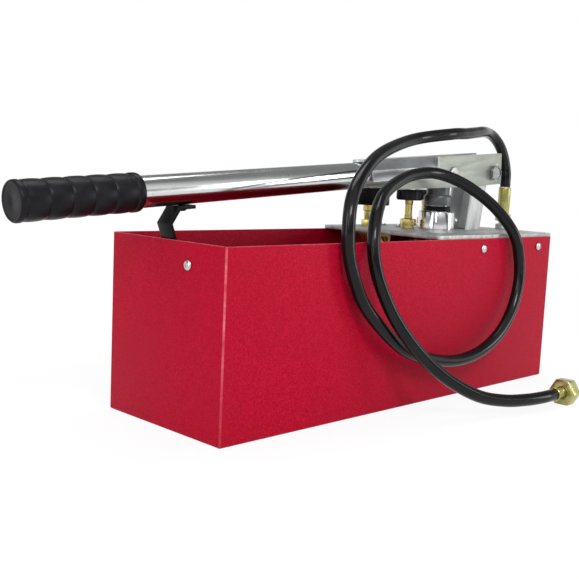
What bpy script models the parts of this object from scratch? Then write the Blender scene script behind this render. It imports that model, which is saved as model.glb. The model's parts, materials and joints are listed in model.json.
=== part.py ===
"""Hydrostatic test pump with tank, lever pump and pressure hose.

The origin is the centre of the tank's bottom face, +X points from the grip to the pump end,
+Y to the back wall and +Z up. All sizes are in metres. The model stands at rest, lever down.
"""
import math

import bmesh
import bpy
from mathutils import Vector

# General clearances
CONTACT_GAP = 0.0003
HOLE_CLEARANCE = 0.0003
RUNNING_CLEARANCE = 0.0005
CUT_OVERRUN = 0.002
WELD_DISTANCE = 0.00001

# Tank: an open tray of folded sheet
TANK_LENGTH = 0.536
TANK_WIDTH = 0.170
TANK_HEIGHT = 0.177
TANK_SHEET = 0.0012
TANK_FOLD_RADIUS = 0.0020

# Pump plate on the rim at the pump end
PLATE_LENGTH = 0.2364
PLATE_THICKNESS = 0.0040
PLATE_CORNER_RADIUS = 0.0030

# Angle brackets welded under the plate, one along each long wall
BRACKET_LENGTH = 0.150
BRACKET_LEG = 0.022
BRACKET_FLANGE = 0.0125
BRACKET_SHEET = 0.0020
BRACKET_FROM_END = 0.0145

# Pan head cross screws
SCREW_HEAD_RADIUS = 0.0048
SCREW_HEAD_HEIGHT = 0.0026
SCREW_SHANK_RADIUS = 0.0024
SCREW_LENGTH = 0.0090
SCREW_CROSS_LENGTH = 0.0050
SCREW_CROSS_WIDTH = 0.0011
SCREW_CROSS_DEPTH = 0.0012
WALL_SCREWS_FROM_END = (0.0305, 0.1493)
WALL_SCREW_BELOW_RIM = 0.0117
END_SCREW_SIDE = 0.0338
END_SCREW_BELOW_RIM = 0.0209
NUT_FLATS = 0.0080
NUT_HEIGHT = 0.0040

# Guide fork inside the grip end wall, which the lever's strip drops into
KEEPER_SHEET = 0.0020
KEEPER_HEIGHT = 0.016
KEEPER_EAR_DEPTH = 0.012
KEEPER_END_MARGIN = 0.008
KEEPER_SIDE_PLAY = 0.0012

# Pump cylinder, its axis measured from the pump end of the tank
PUMP_FROM_END = 0.127
PLUNGER_RADIUS = 0.0140
PLUNGER_BOTTOM = 0.056
PLUNGER_SPIGOT_RADIUS = 0.0080
PLUNGER_SPIGOT_HEIGHT = 0.012
BARREL_WALL = 0.0055
BARREL_BOTTOM = 0.040
COLLAR_RADIUS = 0.0220
COLLAR_HEIGHT = 0.0214
COLLAR_LIP = 0.0050
COLLAR_CHAMFER = 0.0008
WIPER_RADIUS = 0.0166
WIPER_HEIGHT = 0.0062
WIPER_GROOVE = 0.0012
PISTON_HEAD_RADIUS = 0.0170
PISTON_HEAD_HEIGHT = 0.0130
PISTON_HEAD_CHAMFER = 0.0020
PISTON_NECK_RADIUS = 0.0140
PISTON_EYE_ABOVE_PIN = 0.0125
SEAL_HEIGHT = 0.0050
SEAL_DEPTH = 0.0022
SEAL_ABOVE_BOTTOM = 0.008
LOCK_SCREW_RADIUS = 0.0036
LOCK_SCREW_LENGTH = 0.0075
LOCK_SCREW_ANGLE = math.radians(-22)
LOCK_SCREW_SOCKET_RADIUS = 0.0015

# Foot valve and strainer under the barrel
FOOT_FLANGE_HEIGHT = 0.012
FOOT_SPIGOT_HEIGHT = 0.009
FOOT_BORE_RADIUS = 0.0040
FOOT_BALL_RADIUS = 0.0050
FOOT_POCKET_CLEARANCE = 0.0012
STRAINER_RADIUS = 0.0165
STRAINER_WALL = 0.0015
STRAINER_BOTTOM = 0.010
STRAINER_SLOT_WIDTH = 0.0030
STRAINER_SLOT_COUNT = 6

# Brass valve block under the plate
BLOCK_HEIGHT = 0.026
BLOCK_TO_BRACKET = 0.0010
BLOCK_MAIN_SIDE = 0.008
BLOCK_ARM_LENGTH = 0.059
BLOCK_ARM_WIDTH = 0.026
BLOCK_PAST_PUMP = 0.017
BLOCK_SCREW_FROM_PUMP = 0.021
BLOCK_SCREW_FROM_REAR = 0.0045
BLOCK_SCREW_FROM_SHUTOFF = 0.0220
BLOCK_SCREW_HEAD_RADIUS = 0.0038
DELIVERY_BORE_RADIUS = 0.0052
DELIVERY_BALL_RADIUS = 0.0040
DELIVERY_SPRING_RADIUS = 0.0034
DELIVERY_SPRING_WIRE = 0.0005
DELIVERY_SPRING_LENGTH = 0.0120
DELIVERY_SPRING_CURLS = 5
DELIVERY_PLUG_HEAD = 0.0070
DELIVERY_PLUG_FLATS = 0.0150
DELIVERY_PLUG_SHANK = 0.0120
DELIVERY_TO_SHUTOFF = 0.0141

# Shut-off and release valves: bonnet, spindle and knob, measured from the pump axis
SHUTOFF_FROM_PUMP = -0.030
SHUTOFF_SIDE = 0.020
RELEASE_FROM_PUMP = 0.033
RELEASE_FROM_REAR = 0.027
BONNET_FLATS = 0.0170
BONNET_NECK_RADIUS = 0.0070
BONNET_NECK_HEIGHT = 0.0030
BONNET_HEX_HEIGHT = 0.0080
BONNET_DEPTH = 0.014
SPINDLE_RADIUS = 0.0050
SPINDLE_NEEDLE_RADIUS = 0.0028
SPINDLE_TIP_LENGTH = 0.0040
SPINDLE_TOP_RADIUS = 0.0032
SPINDLE_TOP_HEIGHT = 0.0080
KNOB_RADIUS = 0.0158
KNOB_FLUTE_DEPTH = 0.0011
KNOB_FLUTES = 8
KNOB_HEIGHT = 0.0130
KNOB_ABOVE_PLATE = 0.0337

# Pressure gauge, face up on its own stem
GAUGE_FROM_REAR = 0.012
GAUGE_SPREAD = 0.04419
GAUGE_SPREAD_SHARE = 0.355
GAUGE_STEM_RADIUS = 0.0045
GAUGE_HEX_FLATS = 0.0140
GAUGE_HEX_HEIGHT = 0.0075
GAUGE_STEM_DEPTH = 0.012
GAUGE_CASE_RADIUS = 0.0262
GAUGE_CASE_HEIGHT = 0.0270
GAUGE_CASE_ABOVE_PLATE = 0.0260
GAUGE_CASE_WALL = 0.0022
GAUGE_CASE_FLOOR = 0.0030
GAUGE_BEZEL_HEIGHT = 0.0060
GAUGE_BEZEL_STEP = 0.0010
GAUGE_DIAL_THICKNESS = 0.0010
GAUGE_DIAL_BELOW_TOP = 0.0080
GAUGE_LENS_THICKNESS = 0.0020
GAUGE_LENS_BELOW_TOP = 0.0012
GAUGE_POINTER_LENGTH = 0.0175
GAUGE_POINTER_TAIL = 0.0060
GAUGE_POINTER_WIDTH = 0.0022
GAUGE_POINTER_THICKNESS = 0.0006
GAUGE_HUB_RADIUS = 0.0022
GAUGE_HUB_HEIGHT = 0.0018

# Steel pipe under the plate, from the valve block to the hose adapter
PIPE_RADIUS = 0.0040
PIPE_BEND_INSET = 0.026
PIPE_BEND_POINTS = 7

# Lever: straight tube, folded channel over it and two cheeks, all in the lever's own frame,
# whose origin is the fulcrum bolt, with x along the lever towards the pump end
FULCRUM_FROM_END = 0.042
FULCRUM_ABOVE_PLATE = 0.0713
LEVER_SLOPE = math.atan(0.079)
TUBE_RADIUS = 0.0145
TUBE_WALL = 0.0020
TUBE_ABOVE_FULCRUM = 0.0076
PIN_TO_FULCRUM = 0.0850
PIN_ABOVE_PLATE = 0.0692
CHANNEL_SHEET = 0.0024
CHANNEL_CHAMFER_ANGLE = math.radians(35)
CHANNEL_SIDE_BELOW_AXIS = 0.0069
CHANNEL_START = 0.2285
CHANNEL_TONGUE_LENGTH = 0.0105
CHANNEL_TONGUE_NOSE = 0.0092
CHANNEL_TO_PIN = 0.0205
CHEEK_SHEET = 0.0030
CHEEK_START = 0.1127
CHEEK_NOSE = 0.0190
CHEEK_TOP = 0.0240
CHEEK_BOTTOM = 0.0147
CHEEK_CORNER_RADIUS = 0.0015
CHEEK_TAIL_START = 0.1900
CHEEK_TAIL_BOTTOM = 0.0097
CHEEK_TAIL_UNDER_CHANNEL = 0.0012
CHEEK_KNEE = 0.0470
FULCRUM_RADIUS = 0.0050
FULCRUM_HEAD_FLATS = 0.0160
FULCRUM_HEAD_HEIGHT = 0.0064
FULCRUM_NUT_HEIGHT = 0.0080
FULCRUM_THREAD_PROUD = 0.0030
GRIP_PAST_WALL = 0.154
GRIP_LENGTH = 0.1232
GRIP_RADIUS = 0.0176
GRIP_WAVES = 5
GRIP_WAVE_DEPTH = 0.0009
GRIP_COLLAR_LENGTH = 0.006
GRIP_END_WALL = 0.0050
GRIP_END_ROUND = 0.0022
GRIP_WAVE_POINTS = 4

# Strip under the tube that drops inside the tank's end wall
STRIP_THICKNESS = 0.0034
STRIP_WIDTH = 0.0195
STRIP_FOOT_INSIDE_WALL = 0.0238
STRIP_FOOT_LENGTH = 0.0180
STRIP_BEND_ALONG = 0.0107
STRIP_BEND_DROP = 0.0135
STRIP_LEG_BACK = 0.0120
STRIP_LEG_DROP = 0.0420
RIVET_RADIUS = 0.0030
RIVET_HEAD_RADIUS = 0.0050
RIVET_HEAD_HEIGHT = 0.0016

# Pin that joins the piston head and the cheeks, with its open play in the cheeks' slots
PIN_RADIUS = 0.0040
PIN_HEAD_RADIUS = 0.0068
PIN_HEAD_HEIGHT = 0.0022
PIN_PLAY_ALONG = 0.0019
PIN_PLAY_UP = 0.0008
CLIP_RADIUS = 0.0066
CLIP_THICKNESS = 0.0012
CLIP_GAP_WIDTH = 0.0030
PIN_TIP = 0.0022
PIN_GROOVE_DEPTH = 0.0008

# Swing link between the plate and the fulcrum bolt, a channel open towards the piston
LINK_PIVOT_FROM_END = 0.0733
LINK_LEAN = math.radians(9)
LINK_HALF_WIDTH = 0.0165
LINK_SHEET = 0.0030
LINK_FLANGE_HALF = 0.0136
LINK_EYE_RADIUS = 0.0095
LINK_KNEE_FRONT_SHARE = 0.78
LINK_KNEE_BACK_SHARE = 0.84
LINK_WEB_START = 0.014
LINK_SLOT_PLAY = 0.0030
LUG_SHEET = 0.0030
LUG_HALF_LENGTH = 0.0110
LUG_BELOW_PIVOT = 0.0100
LUG_FOOT = 0.0140
BASE_PIN_RADIUS = 0.0040
BASE_PIN_HEAD_RADIUS = 0.0062
BASE_PIN_HEAD_HEIGHT = 0.0018
BASE_PIN_BELOW_PLATE = 0.0021

# Hose fitting on the plate
FITTING_FROM_END = 0.0095
FITTING_SIDE = -0.0190
FITTING_FLATS = 0.0170
FITTING_BORE_RADIUS = 0.0025
ADAPTER_HEX_HEIGHT = 0.0066
ADAPTER_NECK_RADIUS = 0.0055
ADAPTER_NECK_HEIGHT = 0.0034
ADAPTER_STUD_RADIUS = 0.0060
ADAPTER_BODY_RADIUS = 0.0070
ADAPTER_BODY_DROP = 0.024
SWIVEL_HEIGHT = 0.0095
FERRULE_RADIUS = 0.0077
FERRULE_WAIST = 0.0004
FERRULE_LENGTH = 0.0335
FERRULE_CHAMFER = 0.0008

# Hose and its end fitting
HOSE_RADIUS = 0.0066
HOSE_POINT_SPACING = 0.0140
HOSE_END_NUT_FLATS = 0.0270
HOSE_END_NUT_LENGTH = 0.0140
HOSE_END_NUT_CHAMFER = 0.0016
HOSE_END_NUT_BORE = 0.0098
HOSE_END_NUT_WALL = 0.0035
NIPPLE_RING_RADIUS = 0.0078
NIPPLE_RING_LENGTH = 0.0022
NIPPLE_NECK_RADIUS = 0.0062
NIPPLE_NECK_LENGTH = 0.0150
NIPPLE_BORE_RADIUS = 0.0025
NIPPLE_HEAD_RADIUS = 0.0088
NIPPLE_HEAD_LENGTH = 0.0055
SWIVEL_CLEARANCE = 0.0005

# Hose route, chosen by hand along the pump, across it and up, from the ferrule to the nipple
HOSE_ROUTE = (
    (0.2590, -0.0176, 0.2576), (0.2541, -0.0162, 0.2742), (0.2433, -0.0155, 0.2884),
    (0.2279, -0.0157, 0.2980), (0.2095, -0.0188, 0.3017), (0.1827, -0.0295, 0.3011),
    (0.1576, -0.0364, 0.2986), (0.1290, -0.0428, 0.2958), (0.0970, -0.0462, 0.2933),
    (0.0379, -0.0389, 0.2840), (-0.0310, -0.0540, 0.2675),
    (-0.0780, -0.0710, 0.2480), (-0.1090, -0.0840, 0.2250), (-0.1220, -0.0915, 0.2000),
    (-0.1230, -0.0940, 0.1710), (-0.1160, -0.0960, 0.1460), (-0.1010, -0.0980, 0.1180),
    (-0.0720, -0.1020, 0.0890), (-0.0370, -0.1040, 0.0660), (0.0070, -0.1050, 0.0525),
    (0.0520, -0.1050, 0.0465), (0.0980, -0.1045, 0.0520), (0.1360, -0.1030, 0.0685),
    (0.1630, -0.1005, 0.0930), (0.1780, -0.0980, 0.1240), (0.1785, -0.0960, 0.1520),
    (0.1675, -0.0938, 0.1810), (0.1490, -0.0775, 0.2110), (0.1200, -0.0550, 0.2360),
    (0.0800, -0.0420, 0.2480), (0.0370, -0.0420, 0.2455), (-0.0060, -0.0530, 0.2360),
    (-0.0460, -0.0690, 0.2230), (-0.0730, -0.0840, 0.2050), (-0.0855, -0.0925, 0.1830),
    (-0.0880, -0.0980, 0.1580), (-0.0825, -0.1045, 0.1320), (-0.0690, -0.1140, 0.1010),
    (-0.0460, -0.1270, 0.0690), (-0.0180, -0.1420, 0.0425), (0.0180, -0.1570, 0.0225),
    (0.0520, -0.1680, 0.0148), (0.0820, -0.1760, 0.0130), (0.1040, -0.1805, 0.0131),
)
HOSE_END_AT = (0.1280, -0.1820)
ROUTE_PUMP_END = 0.2680
ROUTE_FRONT_WALL = -0.0850
ROUTE_PLATE_TOP = 0.1813

# Round pieces have this many sides
SIDES_LARGE = 32
SIDES_MEDIUM = 20
SIDES_SMALL = 12

# Levels and places that follow from the sizes above
PUMP_END_X = TANK_LENGTH / 2
GRIP_END_X = -TANK_LENGTH / 2
FRONT_WALL_Y = -TANK_WIDTH / 2
BACK_WALL_Y = TANK_WIDTH / 2
PLATE_BOTTOM = TANK_HEIGHT + CONTACT_GAP
PLATE_TOP = PLATE_BOTTOM + PLATE_THICKNESS
ON_PLATE = PLATE_TOP + CONTACT_GAP
UNDER_PLATE = PLATE_BOTTOM - CONTACT_GAP
FULCRUM_HEIGHT = PLATE_TOP + FULCRUM_ABOVE_PLATE
PIN_HEIGHT = PLATE_TOP + PIN_ABOVE_PLATE
LINK_PIVOT_HEIGHT = PLATE_BOTTOM - BASE_PIN_HEAD_RADIUS - BASE_PIN_BELOW_PLATE
FULCRUM_TO_WALL = TANK_LENGTH - FULCRUM_FROM_END
GRIP_END = FULCRUM_TO_WALL + GRIP_PAST_WALL
STRIP_FOOT_START = FULCRUM_TO_WALL - STRIP_FOOT_INSIDE_WALL
PLATE_CENTRE_X = PUMP_END_X - PLATE_LENGTH / 2
PUMP_X = PUMP_END_X - PUMP_FROM_END
FULCRUM_X = PUMP_END_X - FULCRUM_FROM_END
LINK_X = PUMP_END_X - LINK_PIVOT_FROM_END
FITTING_X = PUMP_END_X - FITTING_FROM_END
BARREL_INNER = PLUNGER_RADIUS + RUNNING_CLEARANCE
BARREL_OUTER = BARREL_INNER + BARREL_WALL
COLLAR_TOP = ON_PLATE + COLLAR_HEIGHT
WIPER_TOP = COLLAR_TOP + CONTACT_GAP + WIPER_HEIGHT
HEAD_BOTTOM = WIPER_TOP + RUNNING_CLEARANCE
CHANNEL_OUTER = TUBE_RADIUS + CONTACT_GAP + CHANNEL_SHEET
CHEEK_INNER = CHANNEL_OUTER + CONTACT_GAP
CHEEK_OUTER = CHEEK_INNER + CHEEK_SHEET
BLOCK_TOP = UNDER_PLATE
BLOCK_BOTTOM = BLOCK_TOP - BLOCK_HEIGHT
DELIVERY_HEIGHT = BLOCK_TOP - BLOCK_HEIGHT / 2
SHUTOFF_X = PUMP_X + SHUTOFF_FROM_PUMP
RELEASE_X = PUMP_X + RELEASE_FROM_PUMP
BLOCK_REAR = BACK_WALL_Y - TANK_SHEET - CONTACT_GAP - BRACKET_FLANGE - BLOCK_TO_BRACKET
RELEASE_SIDE = BLOCK_REAR - RELEASE_FROM_REAR
BLOCK_SCREW_SIDES = (BLOCK_REAR - BLOCK_SCREW_FROM_REAR, SHUTOFF_SIDE + BLOCK_SCREW_FROM_SHUTOFF)
GAUGE_SIDE = BLOCK_REAR - GAUGE_FROM_REAR
GAUGE_X = SHUTOFF_X - GAUGE_SPREAD + GAUGE_SPREAD_SHARE * (GAUGE_SIDE - SHUTOFF_SIDE)
BLOCK_END_X = PUMP_X - BLOCK_PAST_PUMP
ARM_END_X = BLOCK_END_X + BLOCK_ARM_LENGTH
DELIVERY_BORE_LENGTH = (DELIVERY_PLUG_SHANK + DELIVERY_SPRING_LENGTH
                        + 2 * DELIVERY_BALL_RADIUS + 3 * CONTACT_GAP)
BLOCK_START_X = SHUTOFF_X - DELIVERY_TO_SHUTOFF - DELIVERY_BORE_LENGTH
SPRING_MID_X = BLOCK_START_X + DELIVERY_PLUG_SHANK + CONTACT_GAP + DELIVERY_SPRING_LENGTH / 2
END_AXIS_HEIGHT = HOSE_END_NUT_FLATS / 2

PARTS = None
CUTTERS = None


# Scene and materials

def start_scene():
    """Empty the scene and make one collection for the parts and one for the cutters."""
    global PARTS, CUTTERS
    for item in list(bpy.data.objects):
        bpy.data.objects.remove(item, do_unlink=True)
    PARTS = bpy.data.collections.new("hydrostatic_test_pump")
    CUTTERS = bpy.data.collections.new("cutters")
    bpy.context.scene.collection.children.link(PARTS)
    bpy.context.scene.collection.children.link(CUTTERS)


def finish_material(name, colour, roughness, metallic=0.0):
    """Make one Principled material."""
    material = bpy.data.materials.new(name)
    material.use_nodes = True
    shader = material.node_tree.nodes["Principled BSDF"]
    shader.inputs["Base Color"].default_value = (*colour, 1.0)
    shader.inputs["Roughness"].default_value = roughness
    shader.inputs["Metallic"].default_value = metallic
    return material


FINISHES = {
    "crimson_coat": ((0.56, 0.010, 0.032), 0.45, 0.0),
    "galvanised": ((0.52, 0.53, 0.52), 0.42, 0.9),
    "bright_zinc": ((0.72, 0.72, 0.72), 0.25, 1.0),
    "dull_zinc": ((0.42, 0.44, 0.42), 0.50, 0.8),
    "polished_steel": ((0.80, 0.80, 0.82), 0.12, 1.0),
    "chrome": ((0.78, 0.79, 0.80), 0.10, 1.0),
    "dark_steel": ((0.10, 0.11, 0.12), 0.45, 0.6),
    "brass": ((0.72, 0.50, 0.16), 0.28, 1.0),
    "yellow_zinc": ((0.62, 0.58, 0.26), 0.30, 0.9),
    "black_rubber": ((0.018, 0.018, 0.020), 0.60, 0.0),
    "hose_rubber": ((0.022, 0.022, 0.026), 0.35, 0.0),
    "black_plastic": ((0.015, 0.015, 0.016), 0.45, 0.0),
    "black_paint": ((0.012, 0.012, 0.013), 0.35, 0.0),
    "dial_white": ((0.85, 0.85, 0.82), 0.60, 0.0),
    "clear_glass": ((0.90, 0.92, 0.92), 0.05, 0.0),
    "spring_steel": ((0.60, 0.60, 0.58), 0.30, 1.0),
}


# Building blocks

def add_object(name, mesh, finish, parent=None):
    """Link a mesh as one named part with its own material."""
    part = bpy.data.objects.new(name, mesh)
    colour, roughness, metallic = FINISHES[finish]
    mesh.materials.clear()
    mesh.materials.append(finish_material(name + "_" + finish, colour, roughness, metallic))
    PARTS.objects.link(part)
    part.parent = parent
    return part


def mesh_from(bm, name):
    """Turn a bmesh into a mesh with faces pointing out."""
    bmesh.ops.recalc_face_normals(bm, faces=bm.faces)
    mesh = bpy.data.meshes.new(name)
    bm.to_mesh(mesh)
    bm.free()
    return mesh


def smooth(part, angle=math.radians(35)):
    """Shade round faces smooth and keep the sharp edges."""
    part.data.shade_smooth()
    part.data.set_sharp_from_angle(angle=angle)
    return part


def box_mesh(name, low, high):
    """A box between two corners."""
    bm = bmesh.new()
    bmesh.ops.create_cube(bm, size=1)
    low = Vector(low)
    high = Vector(high)
    size = high - low
    centre = (high + low) / 2
    bmesh.ops.scale(bm, vec=size, verts=bm.verts)
    bmesh.ops.translate(bm, vec=centre, verts=bm.verts)
    return mesh_from(bm, name)


def rod_mesh(name, radius, bottom, top, sides=SIDES_MEDIUM, turn=0.0):
    """An upright cylinder or prism between two heights."""
    bm = bmesh.new()
    bmesh.ops.create_cone(bm, cap_ends=True, segments=sides, radius1=radius, radius2=radius,
                          depth=top - bottom)
    bmesh.ops.translate(bm, vec=(0, 0, (top + bottom) / 2), verts=bm.verts)
    for vert in bm.verts:
        x, y, _ = vert.co
        vert.co.x = x * math.cos(turn) - y * math.sin(turn)
        vert.co.y = x * math.sin(turn) + y * math.cos(turn)
    return mesh_from(bm, name)


def turned_mesh(name, profile, sides=SIDES_MEDIUM):
    """A solid of revolution about z. The profile's (radius, height) points run from the top
    down the outer side, and start and end on the axis, or close on themselves for a ring."""
    closed_ring = all(radius > 0 for radius, _ in profile)
    mesh = bpy.data.meshes.new(name + "_profile")
    points = [(radius, 0.0, height) for radius, height in profile]
    edges = [(i, i + 1) for i in range(len(points) - 1)]
    if closed_ring:
        edges.append((len(points) - 1, 0))
    mesh.from_pydata(points, edges, [])
    holder = bpy.data.objects.new(name + "_profile", mesh)
    CUTTERS.objects.link(holder)
    screw = holder.modifiers.new("turn", "SCREW")
    screw.steps = sides
    screw.render_steps = sides
    screw.use_merge_vertices = True
    screw.merge_threshold = WELD_DISTANCE
    screw.use_normal_calculate = True
    result = evaluated_mesh(holder, name)
    bpy.data.objects.remove(holder, do_unlink=True)
    bm = bmesh.new()
    bm.from_mesh(result)
    bmesh.ops.remove_doubles(bm, verts=bm.verts, dist=WELD_DISTANCE)
    bpy.data.meshes.remove(result)
    return mesh_from(bm, name)


def evaluated_mesh(item, name):
    """The mesh of an object with its modifiers applied."""
    graph = bpy.context.evaluated_depsgraph_get()
    graph.update()
    mesh = bpy.data.meshes.new_from_object(item.evaluated_get(graph))
    mesh.name = name
    return mesh


def outline_mesh(name, points, thickness):
    """A flat outline in the x-y plane, filled and extruded evenly about that plane."""
    curve = bpy.data.curves.new(name + "_outline", "CURVE")
    curve.dimensions = "2D"
    curve.fill_mode = "BOTH"
    curve.extrude = thickness / 2
    line = curve.splines.new("POLY")
    line.points.add(len(points) - 1)
    for number, (x, y) in enumerate(points):
        line.points[number].co = (x, y, 0.0, 1.0)
    line.use_cyclic_u = True
    holder = bpy.data.objects.new(name + "_outline", curve)
    CUTTERS.objects.link(holder)
    result = evaluated_mesh(holder, name)
    bpy.data.objects.remove(holder, do_unlink=True)
    bm = bmesh.new()
    bm.from_mesh(result)
    bmesh.ops.remove_doubles(bm, verts=bm.verts, dist=WELD_DISTANCE)
    bpy.data.meshes.remove(result)
    return mesh_from(bm, name)


def upright(mesh):
    """Turn a mesh so that its outline plane x-y stands up as x-z, with z through it as -y."""
    for vert in mesh.vertices:
        x, y, z = vert.co
        vert.co = (x, -z, y)
    return mesh


def along_x(mesh):
    """Turn a mesh so that its z axis points along +x."""
    for vert in mesh.vertices:
        x, y, z = vert.co
        vert.co = (z, y, -x)
    return mesh


def along_y(mesh):
    """Turn a mesh so that its z axis points along +y."""
    for vert in mesh.vertices:
        x, y, z = vert.co
        vert.co = (x, z, -y)
    return mesh


def moved_mesh(mesh, shift):
    """Shift every point of a mesh."""
    for vert in mesh.vertices:
        vert.co = vert.co + Vector(shift)
    return mesh


def arc(centre_x, centre_y, radius, start, end, count):
    """Points along an arc, ends included."""
    points = []
    for step in range(count):
        angle = start + (end - start) * step / (count - 1)
        points.append((centre_x + radius * math.cos(angle), centre_y + radius * math.sin(angle)))
    return points


def cut(part, meshes, operation="DIFFERENCE"):
    """Cut meshes given in the part's own frame out of it, or join them to it."""
    for number, mesh in enumerate(meshes):
        cutter = bpy.data.objects.new("%s_%s_%d" % (part.name, operation.lower(), number), mesh)
        CUTTERS.objects.link(cutter)
        cutter.parent = part
        cutter.hide_render = True
        cutter.display_type = "WIRE"
        boolean = part.modifiers.new(cutter.name, "BOOLEAN")
        boolean.operation = operation
        boolean.solver = "EXACT"
        boolean.object = cutter
    return part


def join(part, meshes):
    """Join meshes given in the part's own frame to it."""
    return cut(part, meshes, "UNION")


def empty_at(name, location, tilt=0.0):
    """A frame for parts that move together, turned about y."""
    frame = bpy.data.objects.new(name, None)
    frame.empty_display_size = TUBE_RADIUS
    frame.location = location
    frame.rotation_euler = (0.0, tilt, 0.0)
    PARTS.objects.link(frame)
    return frame


def hex_mesh(name, flats, bottom, top, turn=0.0):
    """An upright hexagonal prism, with two flats facing +x and -x when turn is zero."""
    return rod_mesh(name, flats / math.sqrt(3), bottom, top, 6, turn)


# Tank and plate

def make_tank():
    """The folded tray, with holes for the five screws."""
    bm = bmesh.new()
    bmesh.ops.create_cube(bm, size=1)
    bmesh.ops.scale(bm, vec=(TANK_LENGTH, TANK_WIDTH, TANK_HEIGHT), verts=bm.verts)
    bmesh.ops.translate(bm, vec=(0, 0, TANK_HEIGHT / 2), verts=bm.verts)
    lid = [face for face in bm.faces if face.normal.z > 0.9]
    bmesh.ops.delete(bm, geom=lid, context="FACES")
    tank = add_object("tank_shell", mesh_from(bm, "tank_shell"), "crimson_coat")
    fold = tank.modifiers.new("folds", "BEVEL")
    fold.width = TANK_FOLD_RADIUS
    fold.segments = 2
    sheet = tank.modifiers.new("sheet", "SOLIDIFY")
    sheet.thickness = TANK_SHEET
    sheet.offset = -1.0
    sheet.use_even_offset = True
    radius = SCREW_SHANK_RADIUS + HOLE_CLEARANCE
    holes = []
    reach = TANK_SHEET + CUT_OVERRUN
    for from_end in WALL_SCREWS_FROM_END:
        for wall in (FRONT_WALL_Y, BACK_WALL_Y):
            hole = along_y(rod_mesh("hole", radius, -reach, reach, SIDES_SMALL))
            place = (PUMP_END_X - from_end, wall, TANK_HEIGHT - WALL_SCREW_BELOW_RIM)
            holes.append(moved_mesh(hole, place))
    hole = along_x(rod_mesh("hole", radius, -reach, reach, SIDES_SMALL))
    place = (GRIP_END_X, -END_SCREW_SIDE, TANK_HEIGHT - END_SCREW_BELOW_RIM)
    holes.append(moved_mesh(hole, place))
    return cut(tank, holes)


def screw_mesh(name, length, head_radius=SCREW_HEAD_RADIUS):
    """A pan head screw pointing down its -z axis, its head's underside at height zero."""
    dome_step = SCREW_HEAD_HEIGHT / 3
    profile = [
        (0.0, SCREW_HEAD_HEIGHT),
        (head_radius * 0.45, SCREW_HEAD_HEIGHT - dome_step * 0.15),
        (head_radius * 0.80, SCREW_HEAD_HEIGHT - dome_step * 0.8),
        (head_radius, dome_step),
        (head_radius, 0.0),
        (SCREW_SHANK_RADIUS, 0.0),
        (SCREW_SHANK_RADIUS, -length),
        (0.0, -length),
    ]
    return turned_mesh(name, profile, SIDES_SMALL)


def cross_cutters():
    """Two crossed bars that cut the driver recess in a pan head."""
    half = SCREW_CROSS_LENGTH / 2
    slim = SCREW_CROSS_WIDTH / 2
    low = SCREW_HEAD_HEIGHT - SCREW_CROSS_DEPTH
    high = SCREW_HEAD_HEIGHT + CUT_OVERRUN
    return [
        box_mesh("slot", (-half, -slim, low), (half, slim, high)),
        box_mesh("slot", (-slim, -half, low), (slim, half, high)),
    ]


def make_screw(name, place, turn, length=SCREW_LENGTH, head_radius=SCREW_HEAD_RADIUS):
    """One pan head screw, its head facing the way that turn gives."""
    screw = add_object(name, screw_mesh(name, length, head_radius), "bright_zinc")
    screw.location = place
    screw.rotation_euler = turn
    smooth(screw)
    return cut(screw, cross_cutters())


def make_tank_fasteners():
    """Four screws through the long walls into the brackets, and the end wall's screw."""
    number = 0
    for wall, side in ((FRONT_WALL_Y, -1), (BACK_WALL_Y, 1)):
        for from_end in WALL_SCREWS_FROM_END:
            number += 1
            place = (
                PUMP_END_X - from_end,
                wall + side * CONTACT_GAP,
                TANK_HEIGHT - WALL_SCREW_BELOW_RIM,
            )
            turn = (math.radians(90) * -side, 0.0, 0.0)
            make_screw("wall_screw_%d" % number, place, turn)
    height = TANK_HEIGHT - END_SCREW_BELOW_RIM
    place = (GRIP_END_X - CONTACT_GAP, -END_SCREW_SIDE, height)
    make_screw("end_screw", place, (0.0, math.radians(-90), 0.0))
    start = GRIP_END_X + TANK_SHEET + KEEPER_SHEET + 2 * CONTACT_GAP
    nut = add_object("end_screw_nut", along_x(hex_mesh("end_screw_nut", NUT_FLATS, 0.0, NUT_HEIGHT)),
                     "bright_zinc")
    nut.location = (start, -END_SCREW_SIDE, height)
    radius = SCREW_SHANK_RADIUS + HOLE_CLEARANCE
    hole = along_x(rod_mesh("hole", radius, -CUT_OVERRUN, NUT_HEIGHT + CUT_OVERRUN, SIDES_SMALL))
    cut(nut, [hole])


def make_keeper():
    """The guide fork: a plate on the end screw with two ears beside the lever's strip."""
    left = GRIP_END_X + TANK_SHEET + CONTACT_GAP
    right = left + KEEPER_SHEET
    height = TANK_HEIGHT - END_SCREW_BELOW_RIM
    inner = STRIP_WIDTH / 2 + KEEPER_SIDE_PLAY
    low = height - KEEPER_HEIGHT / 2
    high = height + KEEPER_HEIGHT / 2
    near = -END_SCREW_SIDE - KEEPER_END_MARGIN
    far = inner + KEEPER_SHEET
    keeper = add_object("latch_keeper", box_mesh("latch_keeper", (left, near, low), (right, far, high)),
                        "dull_zinc")
    ears = []
    for start in (-inner - KEEPER_SHEET, inner):
        ears.append(box_mesh("ear", (left, start, low), (right + KEEPER_EAR_DEPTH,
                                                         start + KEEPER_SHEET, high)))
    join(keeper, ears)
    radius = SCREW_SHANK_RADIUS + HOLE_CLEARANCE
    reach = KEEPER_SHEET + CUT_OVERRUN
    hole = along_x(rod_mesh("hole", radius, -CUT_OVERRUN, reach, SIDES_SMALL))
    cut(keeper, [moved_mesh(hole, (left, -END_SCREW_SIDE, height))])


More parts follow.
